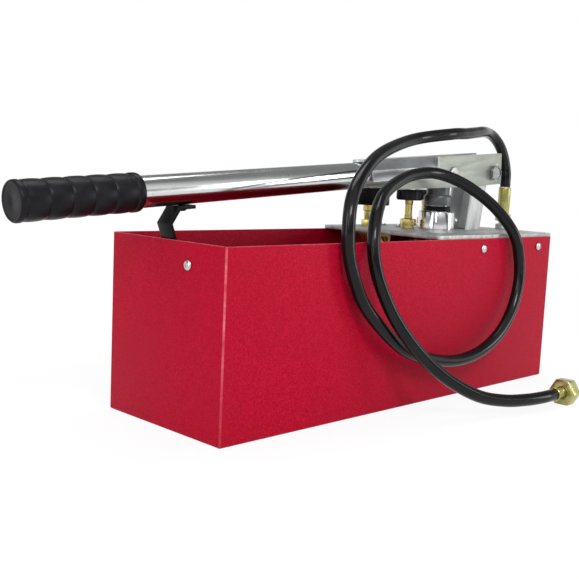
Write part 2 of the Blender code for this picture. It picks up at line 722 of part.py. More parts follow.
def make_plate():
    """The pump plate with the holes of everything that passes through it."""
    half_x = PLATE_LENGTH / 2
    half_y = TANK_WIDTH / 2
    radius = PLATE_CORNER_RADIUS
    quarter = math.pi / 2
    outline = []
    corners = ((1, 1, 0.0), (-1, 1, quarter), (-1, -1, 2 * quarter), (1, -1, 3 * quarter))
    for sign_x, sign_y, start in corners:
        outline += arc(sign_x * (half_x - radius), sign_y * (half_y - radius), radius,
                       start, start + quarter, 5)
    plate = add_object("pump_plate", outline_mesh("pump_plate", outline, PLATE_THICKNESS),
                       "galvanised")
    plate.location = (PLATE_CENTRE_X, 0.0, PLATE_BOTTOM + PLATE_THICKNESS / 2)
    reach = PLATE_THICKNESS / 2 + CUT_OVERRUN
    holes = []
    round_holes = (
        (PUMP_X, 0.0, BARREL_OUTER),
        (SHUTOFF_X, SHUTOFF_SIDE, BONNET_NECK_RADIUS),
        (RELEASE_X, RELEASE_SIDE, BONNET_NECK_RADIUS),
        (GAUGE_X, GAUGE_SIDE, GAUGE_STEM_RADIUS),
        (FITTING_X, FITTING_SIDE, ADAPTER_STUD_RADIUS),
        (PUMP_X - BLOCK_SCREW_FROM_PUMP, BLOCK_SCREW_SIDES[0], SCREW_SHANK_RADIUS),
        (PUMP_X - BLOCK_SCREW_FROM_PUMP, BLOCK_SCREW_SIDES[1], SCREW_SHANK_RADIUS),
    )
    for x, y, size in round_holes:
        hole = rod_mesh("hole", size + HOLE_CLEARANCE, -reach, reach, SIDES_MEDIUM)
        holes.append(moved_mesh(hole, (x - PLATE_CENTRE_X, y, 0.0)))
    front, back = link_slot_span()
    side = LINK_HALF_WIDTH + LINK_SLOT_PLAY / 2
    slot = box_mesh("slot", (front, -side, -reach), (back, side, reach))
    holes.append(moved_mesh(slot, (-PLATE_CENTRE_X, 0.0, 0.0)))
    return cut(plate, holes)


def link_slot_span():
    """Where the plate's slot for the swing link starts and ends along x."""
    lean = math.tan(LINK_LEAN) * (PLATE_TOP - LINK_PIVOT_HEIGHT)
    half = LINK_FLANGE_HALF / math.cos(LINK_LEAN)
    return LINK_X - half - LINK_SLOT_PLAY, LINK_X + lean + half + LINK_SLOT_PLAY / 2


def make_brackets():
    """Angle brackets under the plate, drilled for the wall screws."""
    start = PUMP_END_X - BRACKET_FROM_END - BRACKET_LENGTH
    end = PUMP_END_X - BRACKET_FROM_END
    wall_gap = TANK_SHEET + CONTACT_GAP
    for name, side in (("bracket_front", -1), ("bracket_rear", 1)):
        outer = side * (TANK_WIDTH / 2 - wall_gap)
        inner = outer - side * BRACKET_SHEET
        toe = outer - side * BRACKET_FLANGE
        low_y, high_y = sorted((outer, inner))
        leg = box_mesh(name, (start, low_y, UNDER_PLATE - BRACKET_LEG), (end, high_y, UNDER_PLATE))
        bracket = add_object(name, leg, "dull_zinc")
        low_y, high_y = sorted((outer, toe))
        flange = box_mesh("flange", (start, low_y, UNDER_PLATE - BRACKET_SHEET),
                          (end, high_y, UNDER_PLATE))
        join(bracket, [flange])
        holes = []
        reach = BRACKET_SHEET + CUT_OVERRUN
        for from_end in WALL_SCREWS_FROM_END:
            hole = rod_mesh("hole", SCREW_SHANK_RADIUS + HOLE_CLEARANCE, -reach, reach, SIDES_SMALL)
            place = (PUMP_END_X - from_end, outer, TANK_HEIGHT - WALL_SCREW_BELOW_RIM)
            holes.append(moved_mesh(along_y(hole), place))
        cut(bracket, holes)


# Pump cylinder and piston

def make_cylinder():
    """Barrel through the plate, polished collar over it and the black wiper on top."""
    barrel_top = COLLAR_TOP - COLLAR_LIP - CONTACT_GAP
    profile = [
        (BARREL_OUTER, barrel_top),
        (BARREL_OUTER, BARREL_BOTTOM),
        (BARREL_INNER, BARREL_BOTTOM),
        (BARREL_INNER, barrel_top),
    ]
    barrel = add_object("cylinder_barrel", turned_mesh("cylinder_barrel", profile, SIDES_LARGE),
                        "dull_zinc")
    barrel.location = (PUMP_X, 0.0, 0.0)
    smooth(barrel)

    seat = BARREL_OUTER + CONTACT_GAP
    lip = COLLAR_TOP - COLLAR_LIP
    profile = [
        (COLLAR_RADIUS - COLLAR_CHAMFER, COLLAR_TOP),
        (COLLAR_RADIUS, COLLAR_TOP - COLLAR_CHAMFER),
        (COLLAR_RADIUS, ON_PLATE),
        (seat, ON_PLATE),
        (seat, lip),
        (BARREL_INNER, lip),
        (BARREL_INNER, COLLAR_TOP),
    ]
    collar = add_object("cylinder_collar", turned_mesh("cylinder_collar", profile, SIDES_LARGE),
                        "polished_steel")
    collar.location = (PUMP_X, 0.0, 0.0)
    smooth(collar)
    reach = COLLAR_RADIUS - BARREL_OUTER
    hole = along_x(rod_mesh("hole", LOCK_SCREW_RADIUS + HOLE_CLEARANCE,
                            COLLAR_RADIUS - reach - CUT_OVERRUN,
                            COLLAR_RADIUS + CUT_OVERRUN, SIDES_SMALL))
    turn_about_z(hole, LOCK_SCREW_ANGLE)
    cut(collar, [moved_mesh(hole, (0.0, 0.0, (ON_PLATE + COLLAR_TOP) / 2))])

    bottom = COLLAR_TOP + CONTACT_GAP
    middle = (bottom + WIPER_TOP) / 2
    profile = [
        (WIPER_RADIUS, WIPER_TOP),
        (WIPER_RADIUS, middle + WIPER_GROOVE / 2),
        (WIPER_RADIUS - WIPER_GROOVE, middle),
        (WIPER_RADIUS, middle - WIPER_GROOVE / 2),
        (WIPER_RADIUS, bottom),
        (BARREL_INNER, bottom),
        (BARREL_INNER, WIPER_TOP),
    ]
    wiper = add_object("rod_wiper", turned_mesh("rod_wiper", profile), "black_rubber")
    wiper.location = (PUMP_X, 0.0, 0.0)
    smooth(wiper)


def turn_about_z(mesh, angle):
    """Turn a mesh about the z axis."""
    cosine = math.cos(angle)
    sine = math.sin(angle)
    for vert in mesh.vertices:
        x, y, z = vert.co
        vert.co = (x * cosine - y * sine, x * sine + y * cosine, z)
    return mesh


def make_lock_screw():
    """The short screw that clamps the collar to the barrel."""
    start = BARREL_OUTER + CONTACT_GAP
    end = start + LOCK_SCREW_LENGTH
    mesh = along_x(rod_mesh("collar_lock_screw", LOCK_SCREW_RADIUS, start, end, SIDES_SMALL))
    screw = add_object("collar_lock_screw", turn_about_z(mesh, LOCK_SCREW_ANGLE), "bright_zinc")
    screw.location = (PUMP_X, 0.0, (ON_PLATE + COLLAR_TOP) / 2)
    smooth(screw)
    socket = hex_mesh("socket", 2 * LOCK_SCREW_SOCKET_RADIUS, end - SCREW_CROSS_DEPTH,
                      end + CUT_OVERRUN)
    cut(screw, [turn_about_z(along_x(socket), LOCK_SCREW_ANGLE)])


def make_foot_valve():
    """Brass foot valve under the barrel, its ball and the strainer cup."""
    flange_top = BARREL_BOTTOM - CONTACT_GAP
    flange_bottom = flange_top - FOOT_FLANGE_HEIGHT
    spigot_top = BARREL_BOTTOM + FOOT_SPIGOT_HEIGHT
    spigot = BARREL_INNER - CONTACT_GAP
    pocket = FOOT_BALL_RADIUS + FOOT_POCKET_CLEARANCE
    seat = flange_top
    profile = [
        (spigot, spigot_top),
        (spigot, flange_top),
        (BARREL_OUTER, flange_top),
        (BARREL_OUTER, flange_bottom),
        (FOOT_BORE_RADIUS, flange_bottom),
        (FOOT_BORE_RADIUS, seat - pocket / 2),
        (pocket, seat),
        (pocket, spigot_top),
    ]
    body = add_object("suction_valve_body", turned_mesh("suction_valve_body", profile), "brass")
    body.location = (PUMP_X, 0.0, 0.0)
    smooth(body)

    bm = bmesh.new()
    bmesh.ops.create_uvsphere(bm, u_segments=16, v_segments=10, radius=FOOT_BALL_RADIUS)
    ball = add_object("suction_ball", mesh_from(bm, "suction_ball"), "polished_steel")
    widening = pocket - FOOT_BORE_RADIUS
    slant = math.hypot(pocket / 2, widening)
    rise = ((FOOT_BALL_RADIUS + CONTACT_GAP) * slant - FOOT_BORE_RADIUS * pocket / 2) / widening
    ball.location = (PUMP_X, 0.0, seat - pocket / 2 + rise)
    smooth(ball)

    top = flange_bottom - CONTACT_GAP
    inner = STRAINER_RADIUS - STRAINER_WALL
    floor = STRAINER_BOTTOM + STRAINER_WALL
    profile = [
        (STRAINER_RADIUS, top),
        (STRAINER_RADIUS, STRAINER_BOTTOM),
        (0.0, STRAINER_BOTTOM),
        (0.0, floor),
        (inner, floor),
        (inner, top),
        (STRAINER_RADIUS, top),
    ]
    strainer = add_object("suction_strainer", turned_mesh("suction_strainer", profile), "brass")
    strainer.location = (PUMP_X, 0.0, 0.0)
    smooth(strainer)
    slots = []
    half = STRAINER_SLOT_WIDTH / 2
    reach = STRAINER_RADIUS + CUT_OVERRUN
    low = floor + STRAINER_WALL
    high = top - 2 * STRAINER_WALL
    for number in range(STRAINER_SLOT_COUNT):
        slot = box_mesh("slot", (FOOT_BORE_RADIUS, -half, low), (reach, half, high))
        slots.append(turn_about_z(slot, 2 * math.pi * number / STRAINER_SLOT_COUNT))
    cut(strainer, slots)


def make_piston():
    """Piston head with the pin's eye, plunger and seal ring, on the pump's axis."""
    frame = empty_at("piston_frame", (PUMP_X, 0.0, 0.0))
    step = HEAD_BOTTOM + PISTON_HEAD_HEIGHT
    top = PIN_HEIGHT + PISTON_EYE_ABOVE_PIN
    crown = PISTON_NECK_RADIUS * 0.6
    bore = PLUNGER_SPIGOT_RADIUS + CONTACT_GAP
    bore_top = HEAD_BOTTOM + PLUNGER_SPIGOT_HEIGHT + CONTACT_GAP
    profile = [
        (0.0, top),
        (crown, top - PISTON_HEAD_CHAMFER / 2),
        (PISTON_NECK_RADIUS, top - 3 * PISTON_HEAD_CHAMFER),
        (PISTON_NECK_RADIUS, step + PISTON_HEAD_CHAMFER),
        (PISTON_HEAD_RADIUS, step - PISTON_HEAD_CHAMFER / 2),
        (PISTON_HEAD_RADIUS, HEAD_BOTTOM),
        (bore, HEAD_BOTTOM),
        (bore, bore_top),
        (0.0, bore_top),
    ]
    head = add_object("piston_head", turned_mesh("piston_head", profile, SIDES_LARGE),
                      "dark_steel", frame)
    smooth(head)
    reach = PISTON_HEAD_RADIUS + CUT_OVERRUN
    eye = along_y(rod_mesh("eye", PIN_RADIUS + HOLE_CLEARANCE, -reach, reach, SIDES_MEDIUM))
    cut(head, [moved_mesh(eye, (0.0, 0.0, PIN_HEIGHT))])

    spigot_top = HEAD_BOTTOM + PLUNGER_SPIGOT_HEIGHT
    shoulder = HEAD_BOTTOM - CONTACT_GAP
    seal_bottom = PLUNGER_BOTTOM + SEAL_ABOVE_BOTTOM
    seal_top = seal_bottom + SEAL_HEIGHT
    groove = PLUNGER_RADIUS - SEAL_DEPTH
    profile = [
        (0.0, spigot_top),
        (PLUNGER_SPIGOT_RADIUS, spigot_top),
        (PLUNGER_SPIGOT_RADIUS, shoulder),
        (PLUNGER_RADIUS, shoulder),
        (PLUNGER_RADIUS, seal_top + CONTACT_GAP),
        (groove, seal_top + CONTACT_GAP),
        (groove, seal_bottom - CONTACT_GAP),
        (PLUNGER_RADIUS, seal_bottom - CONTACT_GAP),
        (PLUNGER_RADIUS, PLUNGER_BOTTOM),
        (0.0, PLUNGER_BOTTOM),
    ]
    plunger = add_object("piston_plunger", turned_mesh("piston_plunger", profile),
                         "polished_steel", frame)
    smooth(plunger)

    outer = PLUNGER_RADIUS + RUNNING_CLEARANCE / 2
    inner = groove + CONTACT_GAP
    profile = [
        (outer, seal_top),
        (outer, seal_bottom),
        (inner, seal_bottom),
        (inner, seal_top),
    ]
    seal = add_object("piston_seal", turned_mesh("piston_seal", profile), "black_rubber", frame)
    smooth(seal)
    make_piston_pin(frame)


def make_piston_pin(frame):
    """Headed pin through the cheeks and the piston's eye, with its clip at the front."""
    face = CHEEK_OUTER + CONTACT_GAP
    clip_near = face
    clip_far = clip_near + CLIP_THICKNESS
    tip = clip_far + PIN_TIP
    groove = PIN_RADIUS - PIN_GROOVE_DEPTH
    profile = [
        (0.0, face + PIN_HEAD_HEIGHT),
        (PIN_HEAD_RADIUS, face + PIN_HEAD_HEIGHT),
        (PIN_HEAD_RADIUS, face),
        (PIN_RADIUS, face),
        (PIN_RADIUS, -clip_near + CONTACT_GAP / 2),
        (groove, -clip_near + CONTACT_GAP / 2),
        (groove, -clip_far - CONTACT_GAP),
        (PIN_RADIUS, -clip_far - CONTACT_GAP),
        (PIN_RADIUS, -tip),
        (0.0, -tip),
    ]
    pin = add_object("piston_pin", along_y(turned_mesh("piston_pin", profile)), "bright_zinc", frame)
    pin.location = (0.0, 0.0, PIN_HEIGHT)
    smooth(pin)

    inner = groove + CONTACT_GAP
    profile = [
        (CLIP_RADIUS, -clip_near),
        (CLIP_RADIUS, -clip_far),
        (inner, -clip_far),
        (inner, -clip_near),
    ]
    clip = add_object("pin_clip", along_y(turned_mesh("pin_clip", profile)), "spring_steel", frame)
    clip.location = (0.0, 0.0, PIN_HEIGHT)
    half = CLIP_GAP_WIDTH / 2
    gap = box_mesh("gap", (-half, -clip_far - CUT_OVERRUN, -CLIP_RADIUS - CUT_OVERRUN),
                   (half, -clip_near + CUT_OVERRUN, 0.0))
    cut(clip, [gap])


# Valve block, valves, gauge and pipe

def make_block():
    """One brass block that hugs the barrel and carries both valves and the gauge."""
    main = box_mesh("valve_block", (BLOCK_START_X, BLOCK_MAIN_SIDE, BLOCK_BOTTOM),
                    (BLOCK_END_X, BLOCK_REAR, BLOCK_TOP))
    block = add_object("valve_block", main, "brass")
    low = RELEASE_SIDE - BLOCK_ARM_WIDTH / 2
    arm = box_mesh("arm", (BLOCK_END_X - BLOCK_PAST_PUMP, low, BLOCK_BOTTOM),
                   (ARM_END_X, low + BLOCK_ARM_WIDTH, BLOCK_TOP))
    join(block, [arm])
    reach_low = BLOCK_BOTTOM - CUT_OVERRUN
    reach_high = BLOCK_TOP + CUT_OVERRUN
    barrel = rod_mesh("hole", BARREL_OUTER + CONTACT_GAP, reach_low, reach_high, SIDES_LARGE)
    holes = [moved_mesh(barrel, (PUMP_X, 0.0, 0.0))]
    for x, y in ((SHUTOFF_X, SHUTOFF_SIDE), (RELEASE_X, RELEASE_SIDE)):
        depth = BLOCK_TOP - BONNET_DEPTH
        hole = rod_mesh("hole", BONNET_NECK_RADIUS + HOLE_CLEARANCE, depth, reach_high)
        holes.append(moved_mesh(hole, (x, y, 0.0)))
        needle = rod_mesh("hole", SPINDLE_NEEDLE_RADIUS + HOLE_CLEARANCE,
                          BLOCK_BOTTOM + SPINDLE_TIP_LENGTH, depth + CUT_OVERRUN, SIDES_SMALL)
        holes.append(moved_mesh(needle, (x, y, 0.0)))
    hole = rod_mesh("hole", GAUGE_STEM_RADIUS + HOLE_CLEARANCE, BLOCK_TOP - GAUGE_STEM_DEPTH,
                    reach_high)
    holes.append(moved_mesh(hole, (GAUGE_X, GAUGE_SIDE, 0.0)))
    for side in BLOCK_SCREW_SIDES:
        hole = rod_mesh("hole", SCREW_SHANK_RADIUS + HOLE_CLEARANCE, BLOCK_TOP - SCREW_LENGTH,
                        reach_high, SIDES_SMALL)
        holes.append(moved_mesh(hole, (PUMP_X - BLOCK_SCREW_FROM_PUMP, side, 0.0)))
    bore = along_x(rod_mesh("hole", DELIVERY_BORE_RADIUS, -CUT_OVERRUN, DELIVERY_BORE_LENGTH,
                            SIDES_SMALL))
    holes.append(moved_mesh(bore, (BLOCK_START_X, SHUTOFF_SIDE, DELIVERY_HEIGHT)))
    cut(block, holes)
    for number, side in enumerate(BLOCK_SCREW_SIDES):
        place = (PUMP_X - BLOCK_SCREW_FROM_PUMP, side, ON_PLATE)
        make_screw("block_screw_%d" % (number + 1), place, (0.0, 0.0, math.radians(30)),
                   head_radius=BLOCK_SCREW_HEAD_RADIUS)


def make_delivery_valve():
    """Ball, spring and brass plug in the block's long bore."""
    shank = DELIVERY_PLUG_SHANK
    radius = DELIVERY_BORE_RADIUS - CONTACT_GAP
    plug = add_object("delivery_plug",
                      along_x(rod_mesh("delivery_plug", radius, -DELIVERY_PLUG_HEAD / 2, shank,
                                       SIDES_SMALL)), "brass")
    plug.location = (BLOCK_START_X, SHUTOFF_SIDE, DELIVERY_HEIGHT)
    head = along_x(hex_mesh("head", DELIVERY_PLUG_FLATS, -DELIVERY_PLUG_HEAD, -CONTACT_GAP))
    join(plug, [head])

    spring = bpy.data.curves.new("delivery_spring", "CURVE")
    spring.dimensions = "3D"
    spring.bevel_depth = DELIVERY_SPRING_WIRE
    spring.bevel_resolution = 1
    spring.use_fill_caps = True
    line = spring.splines.new("POLY")
    per_curl = 9
    count = DELIVERY_SPRING_CURLS * per_curl + 1
    line.points.add(count - 1)
    run = DELIVERY_SPRING_LENGTH - 3 * DELIVERY_SPRING_WIRE
    least_gap = run / DELIVERY_SPRING_CURLS - 2 * DELIVERY_SPRING_WIRE
    print("delivery spring least gap to itself, mm: %.2f" % (least_gap * 1000))
    for number in range(count):
        angle = 2 * math.pi * number / per_curl
        along = run * (number / (count - 1) - 0.5)
        line.points[number].co = (along, DELIVERY_SPRING_RADIUS * math.cos(angle),
                                  DELIVERY_SPRING_RADIUS * math.sin(angle), 1.0)
    coil = curve_part("delivery_spring", spring, "spring_steel")
    coil.location = (SPRING_MID_X, SHUTOFF_SIDE, DELIVERY_HEIGHT)

    bm = bmesh.new()
    bmesh.ops.create_uvsphere(bm, u_segments=14, v_segments=8, radius=DELIVERY_BALL_RADIUS)
    ball = add_object("delivery_ball", mesh_from(bm, "delivery_ball"), "polished_steel")
    after_spring = SPRING_MID_X + DELIVERY_SPRING_LENGTH / 2
    ball.location = (after_spring + CONTACT_GAP + DELIVERY_BALL_RADIUS, SHUTOFF_SIDE, DELIVERY_HEIGHT)
    smooth(ball)


def curve_part(name, curve, finish):
    """A curve as one named part with its own material."""
    colour, roughness, metallic = FINISHES[finish]
    curve.materials.append(finish_material(name + "_" + finish, colour, roughness, metallic))
    part = bpy.data.objects.new(name, curve)
    PARTS.objects.link(part)
    return part


def make_valve(prefix, x, y):
    """One screw-down valve: fixed bonnet, and a spindle and knob that turn together."""
    hex_bottom = ON_PLATE + BONNET_NECK_HEIGHT
    hex_top = hex_bottom + BONNET_HEX_HEIGHT
    foot = BLOCK_TOP - BONNET_DEPTH + CONTACT_GAP
    bonnet = add_object(prefix + "_bonnet",
                        hex_mesh(prefix + "_bonnet", BONNET_FLATS, hex_bottom, hex_top,
                                 math.radians(15)), "brass")
    bonnet.location = (x, y, 0.0)
    join(bonnet, [rod_mesh("neck", BONNET_NECK_RADIUS, foot, hex_bottom + CUT_OVERRUN)])
    needle = SPINDLE_NEEDLE_RADIUS
    bore = rod_mesh("bore", needle + HOLE_CLEARANCE, foot - CUT_OVERRUN, hex_top + CUT_OVERRUN,
                    SIDES_SMALL)
    cut(bonnet, [bore])

    frame = empty_at(prefix + "_frame", (x, y, 0.0))
    shoulder = hex_top + CONTACT_GAP
    knob_bottom = PLATE_TOP + KNOB_ABOVE_PLATE
    tip = BLOCK_BOTTOM + SPINDLE_TIP_LENGTH + 2 * CONTACT_GAP
    spigot_top = knob_bottom + SPINDLE_TOP_HEIGHT
    profile = [
        (0.0, spigot_top),
        (SPINDLE_TOP_RADIUS, spigot_top),
        (SPINDLE_TOP_RADIUS, knob_bottom - CONTACT_GAP),
        (SPINDLE_RADIUS, knob_bottom - CONTACT_GAP),
        (SPINDLE_RADIUS, shoulder),
        (needle, shoulder),
        (needle, tip + SPINDLE_TIP_LENGTH),
        (0.0, tip),
    ]
    spindle = add_object(prefix + "_spindle", turned_mesh(prefix + "_spindle", profile, SIDES_SMALL),
                         "brass", frame)
    smooth(spindle)

    outline = []
    count = KNOB_FLUTES * 6
    for number in range(count):
        angle = 2 * math.pi * number / count
        radius = KNOB_RADIUS - KNOB_FLUTE_DEPTH * (1 - math.cos(KNOB_FLUTES * angle)) / 2
        outline.append((radius * math.cos(angle), radius * math.sin(angle)))
    knob = add_object(prefix + "_knob", outline_mesh(prefix + "_knob", outline, KNOB_HEIGHT),
                      "black_plastic", frame)
    knob.location = (0.0, 0.0, knob_bottom + KNOB_HEIGHT / 2)
    hole_top = SPINDLE_TOP_HEIGHT + CONTACT_GAP - KNOB_HEIGHT / 2
    hole = rod_mesh("hole", SPINDLE_TOP_RADIUS + CONTACT_GAP, -KNOB_HEIGHT, hole_top, SIDES_SMALL)
    cut(knob, [hole])


def make_gauge():
    """Pressure gauge: stem, open case, dial, pointer and lens."""
    hex_top = ON_PLATE + GAUGE_HEX_HEIGHT
    case_bottom = PLATE_TOP + GAUGE_CASE_ABOVE_PLATE
    case_top = case_bottom + GAUGE_CASE_HEIGHT
    foot = BLOCK_TOP - GAUGE_STEM_DEPTH + CONTACT_GAP
    stem = add_object("gauge_stem", rod_mesh("gauge_stem", GAUGE_STEM_RADIUS, foot,
                                             case_bottom - CONTACT_GAP, SIDES_MEDIUM), "brass")
    stem.location = (GAUGE_X, GAUGE_SIDE, 0.0)
    smooth(stem)
    join(stem, [hex_mesh("hex", GAUGE_HEX_FLATS, ON_PLATE, hex_top)])

    inner = GAUGE_CASE_RADIUS - GAUGE_CASE_WALL
    floor = case_bottom + GAUGE_CASE_FLOOR
    bezel = case_top - GAUGE_BEZEL_HEIGHT
    body = GAUGE_CASE_RADIUS - GAUGE_BEZEL_STEP
    profile = [
        (GAUGE_CASE_RADIUS - GAUGE_BEZEL_STEP, case_top),
        (GAUGE_CASE_RADIUS, case_top - GAUGE_BEZEL_STEP),
        (GAUGE_CASE_RADIUS, bezel),
        (body, bezel),
        (body, case_bottom + GAUGE_BEZEL_STEP),
        (body - GAUGE_BEZEL_STEP, case_bottom),
        (0.0, case_bottom),
        (0.0, floor),
        (inner, floor),
        (inner, case_top),
        (GAUGE_CASE_RADIUS - GAUGE_BEZEL_STEP, case_top),
    ]
    case = add_object("gauge_case", turned_mesh("gauge_case", profile, SIDES_LARGE), "black_plastic")
    case.location = (GAUGE_X, GAUGE_SIDE, 0.0)
    smooth(case)

    seat = inner - CONTACT_GAP
    dial_top = case_top - GAUGE_DIAL_BELOW_TOP
    dial = add_object("gauge_dial", rod_mesh("gauge_dial", seat, floor + CONTACT_GAP, dial_top,
                                             SIDES_LARGE), "dial_white")
    dial.location = (GAUGE_X, GAUGE_SIDE, 0.0)

    lens_top = case_top - GAUGE_LENS_BELOW_TOP
    lens = add_object("gauge_lens", rod_mesh("gauge_lens", seat, lens_top - GAUGE_LENS_THICKNESS,
                                             lens_top, SIDES_LARGE), "clear_glass")
    lens.location = (GAUGE_X, GAUGE_SIDE, 0.0)

    half = GAUGE_POINTER_WIDTH / 2
    outline = [
        (-GAUGE_POINTER_TAIL, -half),
        (0.0, -half),
        (GAUGE_POINTER_LENGTH, 0.0),
        (0.0, half),
        (-GAUGE_POINTER_TAIL, half),
    ]
    pointer = add_object("gauge_pointer",
                         outline_mesh("gauge_pointer", outline, GAUGE_POINTER_THICKNESS),
                         "black_paint")
    base = dial_top + CONTACT_GAP
    pointer.location = (GAUGE_X, GAUGE_SIDE, base + GAUGE_POINTER_THICKNESS / 2)
    pointer.rotation_euler = (0.0, 0.0, math.radians(225))
    hub = rod_mesh("hub", GAUGE_HUB_RADIUS, -GAUGE_POINTER_THICKNESS / 2,
                   GAUGE_HUB_HEIGHT - GAUGE_POINTER_THICKNESS / 2, SIDES_SMALL)
    join(pointer, [hub])


def make_pipe():
    """Steel pipe under the plate from the block's arm round to the hose adapter."""
    start_x = ARM_END_X + CONTACT_GAP
    end_y = FITTING_SIDE + ADAPTER_BODY_RADIUS + CONTACT_GAP
    corner_x = FITTING_X - PIPE_BEND_INSET
    corner_y = RELEASE_SIDE - PIPE_BEND_INSET
    points = [(start_x, RELEASE_SIDE)]
    points += arc(corner_x, corner_y, PIPE_BEND_INSET, math.pi / 2, 0.0, PIPE_BEND_POINTS)
    points.append((FITTING_X, end_y))
    curve = bpy.data.curves.new("outlet_pipe", "CURVE")
    curve.dimensions = "3D"
    curve.bevel_depth = PIPE_RADIUS
    curve.bevel_resolution = 3
    curve.use_fill_caps = True
    line = curve.splines.new("POLY")
    line.points.add(len(points) - 1)
    for number, (x, y) in enumerate(points):
        line.points[number].co = (x, y, DELIVERY_HEIGHT, 1.0)
    curve_part("outlet_pipe", curve, "bright_zinc")


# Lever

def make_lever():
    """The lever's pieces under one frame at the fulcrum, tilted as it rests."""
    frame = empty_at("lever_frame", (FULCRUM_X, 0.0, FULCRUM_HEIGHT), -LEVER_SLOPE)
    pin_x, pin_z = pin_in_lever()
    channel_end = pin_x - CHANNEL_TO_PIN
    make_lever_tube(frame, channel_end)
    make_channel(frame, channel_end)
    make_cheeks(frame, pin_x, pin_z)
    make_grip(frame)
    make_strip(frame)
    make_fulcrum_bolt(frame)


def pin_in_lever():
    """The piston pin's place in the lever's own frame."""
    dx = -PIN_TO_FULCRUM
    dz = PIN_HEIGHT - FULCRUM_HEIGHT
    cosine = math.cos(LEVER_SLOPE)
    sine = math.sin(LEVER_SLOPE)
    return dx * cosine + dz * sine, dz * cosine - dx * sine


def make_lever_tube(frame, end):
    """Chromed tube, open at both ends, with the rivet's hole on its underside."""
    start = -(GRIP_END - GRIP_END_WALL - CONTACT_GAP)
    inner = TUBE_RADIUS - TUBE_WALL
    profile = [(TUBE_RADIUS, end), (TUBE_RADIUS, start), (inner, start), (inner, end)]
    tube = add_object("lever_tube", along_x(turned_mesh("lever_tube", profile, SIDES_LARGE)),
                      "chrome", frame)
    tube.location = (0.0, 0.0, TUBE_ABOVE_FULCRUM)
    smooth(tube)
    rivet_x = -(STRIP_FOOT_START + STRIP_FOOT_LENGTH / 2)
    hole = rod_mesh("hole", RIVET_RADIUS + HOLE_CLEARANCE, -TUBE_RADIUS - CUT_OVERRUN, 0.0,
                    SIDES_SMALL)
    cut(tube, [moved_mesh(hole, (rivet_x, 0.0, 0.0))])


def channel_outline(tangent, drop):
    """Half of the channel's section round the tube, from the bottom of its side to its top."""
    angle = CHANNEL_CHAMFER_ANGLE
    side = tangent * math.tan(angle / 2)
    top = tangent * math.tan((math.pi / 2 - angle) / 2)
    return [(tangent, -drop), (tangent, side), (top, tangent)]


def make_channel(frame, end):
    """Folded channel over the tube, with a rounded tongue at its front edge."""
    outer = channel_outline(CHANNEL_OUTER, CHANNEL_SIDE_BELOW_AXIS)
    inner = channel_outline(CHANNEL_OUTER - CHANNEL_SHEET, CHANNEL_SIDE_BELOW_AXIS)
    outline = outer + [(-y, z) for y, z in reversed(outer)]
    outline += [(-y, z) for y, z in inner] + list(reversed(inner))
    start = -(CHANNEL_START + CHANNEL_TONGUE_LENGTH)
    length = end - start
    mesh = outline_mesh("lever_channel", outline, length)
    for vert in mesh.vertices:
        x, y, z = vert.co
        vert.co = (z, x, y)
    channel = add_object("lever_channel", mesh, "galvanised", frame)
    channel.location = ((start + end) / 2, 0.0, TUBE_ABOVE_FULCRUM)
    front = -length / 2
    tongue_top = CHANNEL_OUTER + CUT_OVERRUN
    tongue_half = outer[2][0]
    bottom = -CHANNEL_SIDE_BELOW_AXIS - CUT_OVERRUN
    shoulder = front + CHANNEL_TONGUE_LENGTH
    cutters = []
    for side in (-1, 1):
        low_y, high_y = sorted((side * tongue_half, side * (CHANNEL_OUTER + CUT_OVERRUN)))
        cutters.append(box_mesh("relief", (front - CUT_OVERRUN, low_y, bottom),
                                (shoulder, high_y, tongue_top)))
    corner = [(front - CUT_OVERRUN, tongue_half + CUT_OVERRUN)]
    nose = front + CHANNEL_TONGUE_NOSE
    corner += [(nose, tongue_half + CUT_OVERRUN), (nose, tongue_half)]
    corner += arc(nose, 0.0, tongue_half, math.radians(95), math.radians(175), 6)
    corner += [(front - CUT_OVERRUN, 0.0)]
    for side in (-1, 1):
        points = [(x, side * y) for x, y in corner]
        mesh = outline_mesh("nose", points, 2 * CHANNEL_OUTER)
        cutters.append(moved_mesh(mesh, (0.0, 0.0, CHANNEL_OUTER)))
    return cut(channel, cutters)


def make_cheeks(frame, pin_x, pin_z):
    """Two flat cheeks, each with a tapered tail below the channel, the bolt's hole and the pin's slot."""
    radius = CHEEK_CORNER_RADIUS
    quarter = math.pi / 2
    left = -CHEEK_START
    outline = arc(CHEEK_NOSE - radius, CHEEK_TOP - radius, radius, 0.0, quarter, 4)
    outline += arc(left + radius, CHEEK_TOP - radius, radius, quarter, 2 * quarter, 4)
    tail_top = TUBE_ABOVE_FULCRUM - CHANNEL_SIDE_BELOW_AXIS - CHEEK_TAIL_UNDER_CHANNEL
    outline += [(left, tail_top), (-CHEEK_TAIL_START, tail_top),
                (-CHEEK_TAIL_START, -CHEEK_TAIL_BOTTOM), (-CHEEK_KNEE, -CHEEK_BOTTOM)]
    outline += arc(CHEEK_NOSE - radius, radius - CHEEK_BOTTOM, radius, 3 * quarter, 4 * quarter, 4)
    reach = CHEEK_SHEET / 2 + CUT_OVERRUN
    slot_half_height = PIN_RADIUS + PIN_PLAY_UP
    slot = arc(pin_x + PIN_PLAY_ALONG, pin_z, slot_half_height, -quarter, quarter, 9)
    slot += arc(pin_x - PIN_PLAY_ALONG, pin_z, slot_half_height, quarter, 3 * quarter, 9)
    for name, side in (("lever_cheek_front", -1), ("lever_cheek_rear", 1)):
        cheek = add_object(name, upright(outline_mesh(name, outline, CHEEK_SHEET)), "dull_zinc",
                           frame)
        cheek.location = (0.0, side * (CHEEK_INNER + CHEEK_SHEET / 2), 0.0)
        bolt = along_y(rod_mesh("hole", FULCRUM_RADIUS + HOLE_CLEARANCE, -reach, reach))
        cut(cheek, [bolt, upright(outline_mesh("slot", slot, 2 * reach))])


